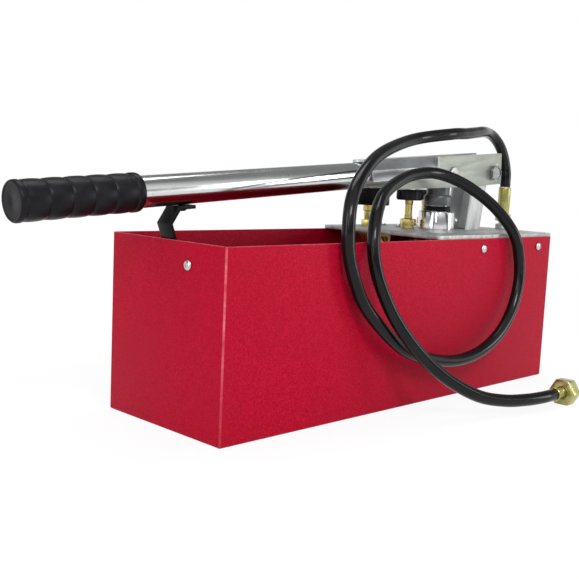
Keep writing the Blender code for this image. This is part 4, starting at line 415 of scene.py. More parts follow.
def vector_node(tree, operation, *vectors):
    node = tree.nodes.new("ShaderNodeVectorMath")
    node.operation = operation
    return feed(tree, node, dict(enumerate(vectors))).outputs["Value"]


def mix_node(tree, share, first, second):
    """The first colour at a share of nought, the second at one."""
    node = tree.nodes.new("ShaderNodeMix")
    node.data_type = "RGBA"
    feed(tree, node, {MIX_SHARE: share, MIX_FIRST: rgba(first), MIX_SECOND: rgba(second)})
    return node.outputs[MIX_RESULT]


def ramp_node(tree, source, stops):
    """Stops are (position, colour) or (position, grey)."""
    node = add_node(tree, "ValToRGB", {"Fac": source})
    points = node.color_ramp.elements
    while len(points) < len(stops):
        points.new(0.5)
    for point, (position, value) in zip(points, stops):
        point.position = position
        point.color = rgba(value)
    return node.outputs["Color"]


# Finishes

class Finish:
    """A procedural material that reads the piece's own Object coordinates."""

    SOCKETS = {"metallic": "Metallic", "specular": "Specular IOR Level", "ior": "IOR",
               "coat": "Coat Weight", "coat_roughness": "Coat Roughness",
               "clear": "Transmission Weight"}

    def __init__(self, name):
        self.material = bpy.data.materials.new(name)
        self.material.use_nodes = True
        self.tree = self.material.node_tree
        self.shader = self.tree.nodes["Principled BSDF"]
        self.place = self.node("TexCoord").outputs["Object"]

    def node(self, kind, inputs=None):
        return add_node(self.tree, kind, inputs)

    def plain(self, **values):
        """Constant values on the shader's own sockets."""
        feed(self.tree, self.shader, {self.SOCKETS[key]: value for key, value in values.items()})

    def stretched(self, scale, turn=(0.0, 0.0, 0.0), source=None):
        return self.node("Mapping", {"Scale": scale, "Rotation": turn,
                                     "Vector": source or self.place}).outputs["Vector"]

    def height(self):
        """The piece's own height in metres."""
        return self.node("SeparateXYZ", {"Vector": self.place}).outputs["Z"]

    def stored(self, name):
        """A value that is stored on the piece's faces."""
        node = self.node("Attribute")
        node.attribute_name = name
        return node.outputs["Fac"]

    def noise(self, scale, detail=3.0, rough=0.5, source=None, distortion=0.0):
        return self.node("TexNoise", {"Scale": scale, "Detail": detail, "Roughness": rough,
                                      "Distortion": distortion,
                                      "Vector": source or self.place}).outputs["Fac"]

    def cells(self, scale, output="Distance"):
        return self.node("TexVoronoi", {"Scale": scale, "Vector": self.place}).outputs[output]

    def ramp(self, source, *stops):
        return ramp_node(self.tree, source, stops)

    def product(self, first, second, clamp=False):
        return maths_node(self.tree, "MULTIPLY", first, second, clamp)

    def larger(self, first, second):
        return maths_node(self.tree, "MAXIMUM", first, second)

    def blend(self, share, first, second):
        return mix_node(self.tree, share, first, second)

    def rubbed_edges(self, radius, gain, breakup):
        """Near one on sharp edges, broken up by noise, and nought on flat faces."""
        rounded = self.node("Bevel", {"Radius": radius})
        rounded.samples = 4
        facing = self.node("NewGeometry").outputs["Normal"]
        dot = vector_node(self.tree, "DOT_PRODUCT", rounded.outputs["Normal"], facing)
        bend = maths_node(self.tree, "SUBTRACT", 1.0, dot)
        patch = self.ramp(self.noise(breakup, 4.0, 0.6), (0.30, 0.25), (0.65, 1.0))
        return self.product(self.product(bend, gain, clamp=True), patch, clamp=True)

    def colour(self, source):
        feed(self.tree, self.shader, {"Base Color": source})

    def roughness(self, source, low, high):
        spread = self.ramp(source, (0.25, low), (0.75, high))
        feed(self.tree, self.shader, {"Roughness": spread})

    def bump(self, *layers):
        """Layers are (height source, distance in metres, strength)."""
        below = {}
        for source, distance, strength in layers:
            node = self.node("Bump", {"Distance": distance, "Strength": strength,
                                      "Height": source, **below})
            below = {"Normal": node.outputs["Normal"]}
        feed(self.tree, self.shader, below)


def crimson_coat():
    """Satin powder coat, finely speckled, paler on folds and rim: rubbed paint and painted
    highlight.
    """
    f = Finish("crimson_coat")
    speckle = f.noise(820, 3.0, 0.75)
    broad = f.noise(7, 3.0, 0.5)
    base = f.ramp(speckle, (0.36, (0.25, 0.0006, 0.011)), (0.50, (0.36, 0.0016, 0.019)),
                  (0.66, (0.52, 0.006, 0.036)))
    shade = f.blend(f.ramp(broad, (0.35, 0.0), (0.70, 0.45)), base, (0.28, 0.007, 0.019))
    # Folds and rim: rubbed paint and painted highlight, broken up, fading towards the bottom
    pale_share = f.ramp(f.noise(60, 5.0, 0.7), (0.34, 0.10), (0.64, 0.75))
    fade_to_bottom = f.ramp(f.height(), (0.02, 0.30), (0.11, 1.0))
    rubbed = f.product(f.product(f.stored("pale_edge_and_painted_light"), pale_share), fade_to_bottom)
    scuffs = f.ramp(f.noise(30, 7.0, 0.80, distortion=1.6), (0.69, 0.0), (0.74, 0.30))
    # Pale sharp edges: a painted highlight along with rubbed paint
    edges = f.product(f.rubbed_edges(0.0016, 5.0, 90.0), 0.7)
    pale = f.larger(f.larger(rubbed, edges), scuffs)
    f.colour(f.blend(pale, shade, (0.68, 0.18, 0.21)))
    f.plain(metallic=0.0, specular=0.05)
    f.roughness(f.noise(300, 3.0, 0.6), 0.36, 0.50)
    f.bump((f.noise(420, 2.0, 0.4), 0.00010, 0.30), (f.noise(4, 2.0), 0.004, 0.10))
    return f.material


def galvanised():
    """Zinc sheet with pale and dark flakes, smears and rubbed edges."""
    f = Finish("galvanised")
    grey = f.node("SeparateColor", {"Color": f.cells(150, "Color")}).outputs["Red"]
    flake = f.ramp(grey, (0.0, (0.28, 0.29, 0.28)), (0.5, (0.42, 0.43, 0.42)),
                   (1.0, (0.60, 0.61, 0.60)))
    smear = f.noise(22, 5.0, 0.65, f.stretched((0.5, 1.6, 1.0)), 0.6)
    base = f.blend(f.ramp(smear, (0.38, 0.0), (0.62, 0.7)), flake, (0.34, 0.35, 0.345))
    spots = f.ramp(f.noise(90, 3.0, 0.6), (0.60, 0.0), (0.72, 0.65))
    dirty = f.blend(spots, base, (0.20, 0.20, 0.195))
    f.colour(f.blend(f.rubbed_edges(0.0006, 4.0, 140.0), dirty, (0.78, 0.79, 0.78)))
    f.plain(metallic=0.75, specular=0.5)
    f.roughness(smear, 0.34, 0.56)
    f.bump((f.noise(700, 3.0, 0.6), 0.00006, 0.4), (smear, 0.0004, 0.15))
    return f.material


def sheet_zinc(name, dark, light, metallic, rough, along=(0.25, 6.0, 6.0)):
    """Rolled and plated sheet: faint lengthwise draw lines, clouded and scuffed."""
    f = Finish(name)
    lines = f.noise(260, 4.0, 0.6, f.stretched(along))
    cloud = f.noise(26, 4.0, 0.6)
    mixed = f.ramp(cloud, (0.30, dark), (0.70, light))
    streaks = f.blend(f.ramp(lines, (0.42, 0.0), (0.60, 0.45)), mixed,
                      tuple(c * 0.72 for c in dark))
    scuffs = f.ramp(f.noise(38, 6.0, 0.72, distortion=1.2), (0.62, 0.0), (0.68, 0.8))
    # Scuffs, and the stored mark: cut metal with a painted highlight, and painted light on shaded
    # faces
    scuffs_and_lit_edges = f.larger(f.product(scuffs, 0.35), f.product(f.stored("pale_edge_and_painted_light"), 0.85))
    pale_share = f.larger(f.rubbed_edges(0.0007, 5.0, 120.0), scuffs_and_lit_edges)
    f.colour(f.blend(pale_share, streaks, (0.86, 0.87, 0.87)))
    f.plain(metallic=metallic, specular=0.5)
    f.roughness(cloud, *rough)
    f.bump((lines, 0.00005, 0.35), (f.noise(9, 2.0), 0.0008, 0.15))
    return f.material


def chrome_tube():
    """Bright chromium over drawn tube, with faint drawn lines, haze and small pits."""
    f = Finish("chrome")
    lines = f.noise(420, 3.0, 0.6, f.stretched((0.05, 1.0, 1.0), (0.0, -LEVER_SLOPE, 0.0)))
    haze = f.noise(18, 5.0, 0.6, f.stretched((0.5, 1.0, 1.0)))
    pits = f.ramp(f.cells(130), (0.05, 1.0), (0.11, 0.0))
    pitted = f.product(pits, f.ramp(f.noise(24, 2.0), (0.52, 0.0), (0.60, 1.0)))
    base = f.ramp(haze, (0.3, (0.60, 0.62, 0.61)), (0.7, (0.74, 0.75, 0.75)))
    f.colour(f.blend(f.product(pitted, 0.7), base, (0.16, 0.15, 0.13)))
    f.plain(metallic=1.0)
    f.roughness(haze, 0.13, 0.21)
    f.bump((lines, 0.00003, 0.35), (haze, 0.0003, 0.12))
    return f.material


def turned_metal(name, dark, light, rough, metallic=1.0, edge=(0.9, 0.9, 0.9)):
    """Machined metal: tool marks round its height, slight tarnish, bright edges."""
    f = Finish(name)
    marks = f.noise(900, 2.0, 0.5, f.stretched((0.02, 0.02, 1.0)))
    tarnish = f.noise(70, 4.0, 0.6)
    base = f.ramp(tarnish, (0.30, dark), (0.70, light))
    f.colour(f.blend(f.rubbed_edges(0.0004, 4.0, 200.0), base, edge))
    f.plain(metallic=metallic, specular=0.5)
    f.roughness(tarnish, *rough)
    f.bump((marks, 0.00004, 0.4), (f.noise(500, 2.0), 0.00003, 0.3))
    return f.material


def yellow_passivation():
    """Yellow-green chromate over zinc, drifting in hue."""
    f = Finish("yellow_zinc")
    base = f.ramp(f.noise(26, 2.0, 0.5), (0.28, (0.24, 0.24, 0.08)),
                  (0.45, (0.40, 0.37, 0.13)), (0.60, (0.50, 0.48, 0.25)),
                  (0.75, (0.32, 0.35, 0.15)))
    f.colour(f.blend(f.rubbed_edges(0.0006, 4.0, 150.0), base, (0.85, 0.83, 0.62)))
    f.plain(metallic=0.9, specular=0.5)
    f.roughness(f.noise(90, 3.0), 0.20, 0.36)
    f.bump((f.noise(600, 2.0), 0.00003, 0.4), (f.noise(60, 2.0), 0.0001, 0.2))
    return f.material


def hose_rubber():
    """Black hose: glossy cover with the faint lengthwise print of its wrapping."""
    f = Finish("hose_rubber")
    wrap = f.node("UVMap")
    wrap.uv_map = "wrap"
    along = f.stretched((1.0, 18.0, 1.0), source=wrap.outputs["UV"])
    print_lines = f.noise(9, 3.0, 0.55, along)
    dust = f.noise(35, 4.0, 0.6)
    f.colour(f.ramp(dust, (0.35, (0.003, 0.003, 0.004)), (0.75, (0.006, 0.006, 0.007))))
    f.plain(metallic=0.0, specular=0.05, coat=0.36, coat_roughness=0.13)
    f.roughness(dust, 0.20, 0.30)
    f.bump((print_lines, 0.00025, 0.25), (f.noise(900, 2.0), 0.00004, 0.3))
    return f.material


def moulded_black(name, colour, rough, grain, specular, depth=0.00008):
    """Moulded black plastic or rubber with a fine matt grain and greyed edges."""
    f = Finish(name)
    dust = f.noise(45, 5.0, 0.62)
    base = f.ramp(dust, (0.40, colour), (0.80, tuple(c * 2.6 for c in colour)))
    greyed = f.product(f.rubbed_edges(0.0008, 3.0, 90.0), 0.6)
    f.colour(f.blend(greyed, base, (0.10, 0.10, 0.105)))
    f.plain(metallic=0.0, specular=specular)
    f.roughness(dust, *rough)
    f.bump((f.cells(grain), depth, 0.35), (f.noise(60, 3.0), 0.0003, 0.12))
    return f.material


def dial_finish(name, dark, light, clouds, rough, depth):
    """Enamel or print on the gauge's dial, clouded a little."""
    f = Finish(name)
    f.colour(f.ramp(f.noise(*clouds), (0.3, dark), (0.7, light)))
    f.roughness(f.noise(200, 2.0), *rough)
    f.bump((f.noise(900, 2.0), depth, 0.2))
    return f.material


def dial_print(name, colour):
    return dial_finish(name, colour, tuple(c + 0.02 for c in colour), (400, 2.0),
                       (0.40, 0.55), 0.00001)


def clear_glass():
    """Thin glass: clear, slightly smeared."""
    f = Finish("clear_glass")
    f.colour(f.ramp(f.noise(30, 3.0), (0.3, (0.93, 0.95, 0.94)), (0.7, (0.98, 0.99, 0.99))))
    f.plain(clear=1.0, ior=1.45)
    f.roughness(f.noise(60, 4.0), 0.02, 0.08)
    f.bump((f.noise(12, 2.0), 0.0001, 0.1))
    return f.material


CRIMSON = crimson_coat()
GALVANISED = galvanised()
CHROME = chrome_tube()
CHEEK_ZINC = sheet_zinc("dull_zinc", (0.30, 0.32, 0.285), (0.42, 0.445, 0.40), 0.55,
                        (0.42, 0.55))
CHANNEL_ZINC = sheet_zinc("channel_zinc", (0.42, 0.44, 0.45), (0.62, 0.64, 0.65), 0.8,
                          (0.26, 0.42))
LINK_ZINC = sheet_zinc("link_zinc", (0.42, 0.43, 0.435), (0.58, 0.59, 0.595), 0.35,
                       (0.38, 0.54), (6.0, 6.0, 0.25))
BOLT_ZINC = turned_metal("bolt_zinc", (0.20, 0.21, 0.21), (0.42, 0.43, 0.42), (0.22, 0.36))
SCREW_ZINC = turned_metal("bright_zinc", (0.50, 0.50, 0.50), (0.72, 0.72, 0.71), (0.20, 0.36))
POLISHED = turned_metal("polished_steel", (0.62, 0.62, 0.64), (0.76, 0.76, 0.78), (0.10, 0.20))
PISTON_STEEL = turned_metal("dark_steel", (0.075, 0.085, 0.090), (0.13, 0.14, 0.145),
                            (0.34, 0.50), 0.6, edge=(0.34, 0.35, 0.36))
BRASS = turned_metal("brass", (0.44, 0.35, 0.10), (0.68, 0.57, 0.22), (0.22, 0.38),
                     edge=(0.92, 0.76, 0.36))
YELLOW_ZINC = yellow_passivation()
HOSE_LOOK = hose_rubber()
GRIP_RUBBER = moulded_black("black_rubber", (0.004, 0.004, 0.005), (0.30, 0.44), 900, 0.14)
KNOB_PLASTIC = moulded_black("black_plastic", (0.006, 0.006, 0.006), (0.34, 0.48), 1100, 0.25)
STRIP_PAINT = moulded_black("black_paint", (0.003, 0.003, 0.003), (0.28, 0.42), 1300, 0.10,
                            0.00004)
SPRING_STEEL = turned_metal("spring_steel", (0.42, 0.42, 0.41), (0.60, 0.60, 0.58),
                            (0.24, 0.36))
DIAL = dial_finish("dial_white", (0.78, 0.78, 0.74), (0.84, 0.84, 0.81), (60, 3.0),
                   (0.45, 0.60), 0.00002)
DIAL_BLACK = dial_print("dial_black", (0.015, 0.015, 0.015))
DIAL_RED = dial_print("dial_red", (0.45, 0.02, 0.02))
GLASS = clear_glass()


def smooth_route():
    """Even steps along one smooth curve from the ferrule to the nipple, and its length."""
    start, end = Vector(HOSE_START), Vector(HOSE_END)
    lead_in = start + Vector((0.0, 0.0, 2 * HOSE_RADIUS))
    lead_out = end - Vector((2 * HOSE_RADIUS, 0.0, 0.0))
    guides = [start, lead_in, *(Vector(p) for p in HOSE_ROUTE), lead_out, end]
    dense = [start]
    for number in range(1, len(guides) - 2):
        p0, p1, p2, p3 = guides[number - 1:number + 3]
        for step in range(STEPS_TO_NEXT_GUIDE):
            t = step / STEPS_TO_NEXT_GUIDE
            dense.append(0.5 * (2 * p1 + (p2 - p0) * t
                                + (2 * p0 - 5 * p1 + 4 * p2 - p3) * t ** 2
                                + (3 * p1 - p0 - 3 * p2 + p3) * t ** 3))
    dense += [guides[-2], end]
    runs = [0.0]
    for before, after in zip(dense, dense[1:]):
        runs.append(runs[-1] + (after - before).length)
    count = round(runs[-1] / HOSE_STEP)
    route, place = [], 0
    for number in range(count + 1):
        target = runs[-1] * number / count
        while place < len(dense) - 2 and runs[place + 1] < target:
            place += 1
        share = (target - runs[place]) / (runs[place + 1] - runs[place])
        route.append(dense[place].lerp(dense[place + 1], share))
    return route, runs[-1]


def make_hose():
    """Rings of points along the route, joined by faces, with closed ends."""
    route, length = smooth_route()
    mesh = bmesh.new()
    wrap = mesh.loops.layers.uv.new("wrap")
    side = Vector((1.0, 0.0, 0.0))
    loops = []
    for number, point in enumerate(route):
        before, after = route[max(0, number - 1)], route[min(len(route) - 1, number + 1)]
        tangent = (after - before).normalized()
        side = (side - tangent * side.dot(tangent)).normalized()
        other = tangent.cross(side)
        loops.append([
            mesh.verts.new(point + HOSE_RADIUS * (side * math.cos(a) + other * math.sin(a)))
            for a in (FULL_TURN * k / HOSE_SIDES for k in range(HOSE_SIDES))])
    for number in range(len(loops) - 1):
        for k in range(HOSE_SIDES):
            after = (k + 1) % HOSE_SIDES
            face = mesh.faces.new((loops[number][k], loops[number][after],
                                   loops[number + 1][after], loops[number + 1][k]))
            face.smooth = True
            around = ((k, number), (k + 1, number), (k + 1, number + 1), (k, number + 1))
            for loop, (u, v) in zip(face.loops, around):
                loop[wrap].uv = (v * HOSE_STEP, u / HOSE_SIDES)
    mesh.faces.new(list(reversed(loops[0])))
    mesh.faces.new(loops[-1])
    data = bpy.data.meshes.new("hose_tube")
    mesh.to_mesh(data)
    mesh.free()
    hose = bpy.data.objects.new("hose_tube", data)
    bpy.context.scene.collection.objects.link(hose)
    wear(hose, HOSE_LOOK, "root", "hose", slot="hose_rubber")
    return hose, route, length


def make_hose_end():
    """Nipple with a ribbed collar, and the loose union nut with its thread."""
    place = Matrix.Translation(HOSE_END) @ TO_PUMP_END
    nipple = turned("nipple", [
        (0.0026, 0.0265), (0.0062, 0.0265), (0.0080, 0.0248), (0.0087, 0.0236),
        (0.0087, 0.0216), (0.0062, 0.0209), (0.0061, 0.0100), (0.0058, 0.0094),
        (0.0061, 0.0088), (0.0061, 0.0066), (0.0058, 0.0060), (0.0061, 0.0054),
        (0.0061, 0.0028), (0.0076, 0.0025), (0.0078, 0.0020), (0.0078, 0.0008),
        (0.0074, 0.0003), (0.0026, 0.0003)], 48, closed=True)
    set_up(nipple, place, YELLOW_ZINC, "root", "end_nipple", slot="yellow_zinc")

    nut = hexagon("union_nut", flats=0.0270, low=0.0170, high=0.0310, chamfer=0.0016, sides=72)
    bottom, crest, thread_start, thread_end = 0.0090, 0.0098, 0.0208, 0.0292
    pitch, flank = 0.0011, 0.0004
    rings = [(0.0067, 0.0160), (0.0067, 0.0206), (bottom, 0.0206)]
    height = thread_start
    while height < thread_end:
        rings += [(bottom, height), (crest, height + flank), (bottom, height + 2 * flank)]
        height += pitch
    rings += [(crest, 0.0300), (0.0106, 0.0320)]
    cut_with(nut, [turned("socket", rings, 48)])
    set_up(nut, place, YELLOW_ZINC, "end_nut", "end_nut", slot="yellow_zinc",
           edges=(0.00025, 2, 35))
    return nipple, nut


hose, hose_route, hose_length = make_hose()
hose_nipple, hose_nut = make_hose_end()


def make_hose_base():
    """Adapter hexagon on the plate, swivel nut and smooth ferrule."""
    head = hexagon("adapter_head", flats=0.0170, low=ON_PLATE, high=0.1882, chamfer=0.0012)
    neck = turned("neck", [(0.0055, 0.1880), (0.0055, 0.1890), (0.0050, 0.1894),
                           (0.0055, 0.1898), (0.0055, 0.1902), (0.0050, 0.1906),
                           (0.0055, 0.1910), (0.0052, 0.1916)], 40)
    below = turned("below", [(0.0070, 0.1528), (0.0070, 0.1764), (0.0060, 0.1770),
                             (0.0060, 0.1818)], 40)
    adapter = place_by(headed("hose_adapter", head, neck, below), FITTING_PLACE)
    wear(adapter, SCREW_ZINC, "root", "hose_base_adapter", slot="bright_zinc")

    swivel = hexagon("swivel_nut", flats=0.0170, low=0.1919, high=0.2014, chamfer=0.0014,
                     turn=30)
    bored(swivel, 0.0052, 0.1910, 0.1960)
    set_up(swivel, FITTING_PLACE, YELLOW_ZINC, "root", "hose_swivel_nut", slot="yellow_zinc",
           edges=(HEAD_EDGE,))

    ferrule = turned("smooth_ferrule", [
        (0.0050, 0.2017), (0.0064, 0.2017), (0.0074, 0.2021), (0.0077, 0.2028),
        (0.0077, 0.2336), (0.0075, 0.2346), (0.0070, 0.2352), (0.0067, 0.2352),
        (0.0067, 0.2340), (0.0050, 0.2340)], 64)
    set_up(ferrule, FITTING_PLACE, YELLOW_ZINC, "root", "hose_ferrule", slot="yellow_zinc")


make_hose_base()


# Tank

def on_fold_or_rim(face):
    """True on the tank's upright folds and on its rim."""
    on_fold = max(abs(part) for part in face.normal) < 0.90 and abs(face.normal.z) < 0.3
    return on_fold or face.center.z > TANK_HEIGHT - 0.0002


def make_tank():
    """Folded tray: outer shell, thickness inwards, rounded folds and a soft rim."""
    half_x, half_y = TANK_LENGTH / 2, TANK_WIDTH / 2
    tray = block_of("tank_tray", (-half_x, -half_y, 0.0), (half_x, half_y, TANK_HEIGHT))
    start_editing(tray)
    pick("faces", lambda f: f.normal.z > 0.9)
    bpy.ops.mesh.delete(type="ONLY_FACE")
    pick("edges", lambda e: min(v.co.z for v in e.verts) < TANK_HEIGHT / 2)
    bpy.ops.mesh.bevel(offset=TANK_FOLD, offset_type="OFFSET", segments=5, profile=0.5)
    stop_editing()
    sheet = tray.modifiers.new("sheet", "SOLIDIFY")
    sheet.thickness = TANK_SHEET
    sheet.offset = -1.0
    sheet.use_even_offset = True
    apply_all(tray)
    soften(tray, 0.0003, 3, 50)
    # Folds and rim get the coat's pale line: rubbed paint and a painted highlight
    mark_cut_edges(tray, on_fold_or_rim)
    wear(tray, CRIMSON, "root", "tank_shell", slot="crimson_coat")


def make_corner_welds():
    """A rippled weld bead inside each upright corner of the tank."""
    ripples, start, pitch, inwards = 40, 0.0040, 0.0042, TANK_SHEET + 0.0011
    radius, swell = 0.0012, 0.0002
    rings = [(radius + swell * (number % 2), start + number * pitch)
             for number in range(ripples)]
    beads = []
    for sign_x in (-1, 1):
        for sign_y in (-1, 1):
            x = sign_x * (TANK_LENGTH / 2 - inwards)
            y = sign_y * (TANK_WIDTH / 2 - inwards)
            bead = turned("bead", [(0.0005, 0.0035), *rings, (0.0005, 0.1725)], 12)
            beads.append(place_by(bead, Matrix.Translation((x, y, 0.0))))
    seam = soften(joined("corner_welds", beads), 0.0)
    wear(seam, CRIMSON, "root", slot="crimson_coat")


make_tank()
make_corner_welds()


# Screws

WALL_SCREW_TWISTS = {"wall_screw_1": 12, "wall_screw_2": 40, "wall_screw_3": 65,
                     "wall_screw_4": 20}
SMALLER_HEAD = Matrix.Diagonal((0.79, 0.79, 1.0, 1.0))


def make_screws():
    """One pan head cross screw, copied to each place."""
    screw = turned("pan_screw", [
        (0.0024, -0.0090), (0.0024, 0.0), (0.0044, 0.0), (0.0048, 0.0003), (0.0048, 0.0008),
        (0.0044, 0.0014), (0.0036, 0.0021), (0.0024, 0.0025), (0.0010, 0.0026)], 40)
    reach, half, low, high = 0.0026, 0.0005, 0.0013, 0.0040
    cut_with(screw, [block_of("bar", (-reach, -half, low), (reach, half, high)),
                     block_of("bar", (-half, -reach, low), (half, reach, high))])
    soften(screw, SCREW_EDGE, 2, 40)
    places = {}
    for node, twist in WALL_SCREW_TWISTS.items():
        x, y, z = middle_of(node)
        wall = math.copysign(TANK_WIDTH / 2 + HEAD_GAP, y)
        turn = (TO_FRONT if y < 0 else TO_BACK) @ Matrix.Rotation(math.radians(twist), 4, "Z")
        places[node] = Matrix.Translation((x, wall, z)) @ turn
    _, y, z = middle_of("end_screw")
    places["end_screw"] = Matrix.Translation((-TANK_LENGTH / 2 - HEAD_GAP, y, z)) @ TO_GRIP_END
    for node in ("block_screw_1", "block_screw_2"):
        x, y, _ = middle_of(node)
        places[node] = Matrix.Translation((x, y, ON_PLATE)) @ SMALLER_HEAD
    for node, place in places.items():
        piece = copy_of(screw, node + "_head", place)
        wear(piece, SCREW_ZINC, "root", node, slot="bright_zinc")
    bpy.data.objects.remove(screw, do_unlink=True)


def make_end_screw_nut():
    """The end screw's nut, against the inside of the end wall."""
    low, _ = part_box("end_screw_nut")
    _, y, z = middle_of("end_screw_nut")
    nut = hexagon("lock_nut", flats=0.0080, low=0.0, high=0.0040, chamfer=0.0006, sides=32)
    set_up(nut, Matrix.Translation((low[0], y, z)) @ TO_PUMP_END, SCREW_ZINC, "root",
           "end_screw_nut", slot="bright_zinc", edges=(SCREW_EDGE,))


make_screws()
make_end_screw_nut()


# Pump head above the plate, and the piston

def make_pump():
    """Collar and wiper on the pump's axis."""
    collar = turned("pump_collar", [
        (0.0172, 0.1816), (0.0216, 0.1816), (0.0220, 0.1820), (0.0220, 0.2018),
        (0.0216, 0.2026), (0.0208, 0.2030), (0.0172, 0.2030), (0.0166, 0.2024),
        (0.0166, 0.1990), (0.0172, 0.1984)], 96, closed=True)
    set_up(collar, PUMP_PLACE, POLISHED, "root", "cylinder_collar", slot="polished_steel")

    wiper = turned("wiper", [
        (0.0143, 0.2033), (0.0160, 0.2033), (0.0166, 0.2038), (0.0166, 0.2056),
        (0.0155, 0.2062), (0.0155, 0.2074), (0.0163, 0.2080), (0.0163, 0.2090),
        (0.0158, 0.2095), (0.0147, 0.2095), (0.0143, 0.2088)], 96, closed=True)
    set_up(wiper, PUMP_PLACE, GRIP_RUBBER, "root", "rod_wiper", slot="black_rubber")


def make_piston():
    """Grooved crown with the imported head's eye on it, the plunger and the pin."""
    crown = turned("piston_crown", [
        (0.0150, 0.2100), (0.0166, 0.2100), (0.0170, 0.2104), (0.0170, 0.2132),
        (0.0167, 0.2135), (0.0167, 0.2140), (0.0170, 0.2143), (0.0170, 0.2202),
        (0.0164, 0.2218), (0.0150, 0.2230), (0.0140, 0.2232), (0.0140, 0.2400)], 96)
    soften(crown, 0.0)
    eye = from_cad("piston_head", 0.0005, name="piston_eye")
    start_editing(eye)
    pick("faces", lambda f: max(v.co.z for v in f.verts) < 0.2232)
    bpy.ops.mesh.delete(type="FACE")
    pick("verts", lambda v: v.co.z < 0.2228)
    bpy.ops.mesh.delete(type="VERT")
    stop_editing()
    place_by(crown, PUMP_PLACE)
    wear(joined("piston_crown", [crown, eye]), PISTON_STEEL, "piston", "piston_head",
         slot="dark_steel")

    plunger = turned("plunger", [
        (0.0130, 0.0560), (0.0140, 0.0568), (0.0140, 0.0636), (0.0120, 0.0638),
        (0.0120, 0.0692), (0.0140, 0.0694), (0.0140, 0.2098), (0.0080, 0.2102),
        (0.0080, 0.2215)], 72)
    set_up(plunger, PUMP_PLACE, POLISHED, "piston", "piston_plunger", slot="polished_steel")

    pin = turned("pivot_pin", [
        (0.0036, 0.0242), (0.0040, 0.0238), (0.0040, 0.0222), (0.0033, 0.0221),
        (0.0033, 0.0207), (0.0040, 0.0206), (0.0040, -0.0206), (0.0064, -0.0208),
        (0.0068, -0.0212), (0.0068, -0.0220), (0.0061, -0.0229), (0.0046, -0.0230)], 48)
    set_up(pin, Matrix.Translation(PISTON_PIN_AT) @ TO_BACK, BOLT_ZINC, "piston", "piston_pin",
           slot="bright_zinc")


make_pump()
make_piston()


# Valves

KNOB_RADIUS = 0.0158
KNOB_FLUTES = 8
FLUTE_RADIUS = 0.0052
FLUTE_DEPTH = 0.0013


def make_valve(name, x, y, twist):
    """Brass bonnet and spindle with a fluted black knob."""
    place = Matrix.Translation((x, y, 0.0)) @ Matrix.Rotation(math.radians(twist), 4, "Z")
    body = name + "_valve"
    head = hexagon("bonnet_head", flats=0.0170, low=0.1846, high=0.1926, chamfer=0.0012,
                   turn=15)
    neck = turned("bonnet_neck", [(0.0064, 0.1634), (0.0070, 0.1640), (0.0070, 0.1815),
                                  (0.0078, 0.1818), (0.0078, 0.1826), (0.0070, 0.1830),
                                  (0.0070, 0.1848)], 40)
    cap = turned("bonnet_cap", [(0.0070, 0.1920), (0.0070, 0.1925), (0.0064, 0.1926)], 40)
    bonnet = place_by(headed(name + "_bonnet_turned", head, neck, cap), place)
    wear(bonnet, BRASS, "root", name + "_bonnet", slot="brass")

    spindle = turned(name + "_stem", [
        (0.0012, 0.1558), (0.0028, 0.1598), (0.0028, 0.1929), (0.0046, 0.1930),
        (0.0050, 0.1934), (0.0050, 0.1962), (0.0044, 0.1966), (0.0044, 0.2098),
        (0.0048, 0.2102), (0.0050, 0.2106), (0.0050, 0.2146), (0.0032, 0.2148),
        (0.0032, 0.2229)], 40)
    set_up(spindle, place, BRASS, body, name + "_spindle", slot="brass")

    knob = turned(name + "_grip_knob", [
        (0.0100, 0.2151), (0.0138, 0.2151), (0.0150, 0.2156), (0.0156, 0.2168),
        (KNOB_RADIUS, 0.2182), (KNOB_RADIUS, 0.2248), (0.0155, 0.2262), (0.0147, 0.2273),
        (0.0134, 0.2278), (0.0108, 0.2278), (0.0100, 0.2272), (0.0092, 0.2268),
        (0.0050, 0.2268)], 96)
    out = KNOB_RADIUS + FLUTE_RADIUS - FLUTE_DEPTH
    cutters = []
    for number in range(KNOB_FLUTES):
        angle = FULL_TURN * (number + 0.5) / KNOB_FLUTES
        flute = turned("flute", [(FLUTE_RADIUS, 0.2140), (FLUTE_RADIUS, 0.2290)], 32)
        at = (out * math.cos(angle), out * math.sin(angle), 0.0)
        cutters.append(place_by(flute, Matrix.Translation(at)))
    cutters.append(turned("bore", [(0.0040, 0.2140), (0.0040, 0.2240)], 32))
    cut_with(knob, cutters)
    set_up(knob, place, KNOB_PLASTIC, body, name + "_knob", slot="black_plastic",
           edges=(0.0004, 2, 28))


make_valve("shutoff", 0.111, 0.020, 12)
make_valve("release", 0.174, 0.043, 31)


# Pressure gauge, face up: angles are in degrees

DIAL_TOP = 0.2263
DIAL_STEPS = 60
DIAL_START = 225
DIAL_SWEEP = 270
MARK_OUTSIDE = 0.0206
DIGITS_OUT = 0.0146
DIGITS_SIZE = 0.0045
BAND_FROM = 225
BAND_TO = 291
BAND_TURN = 24


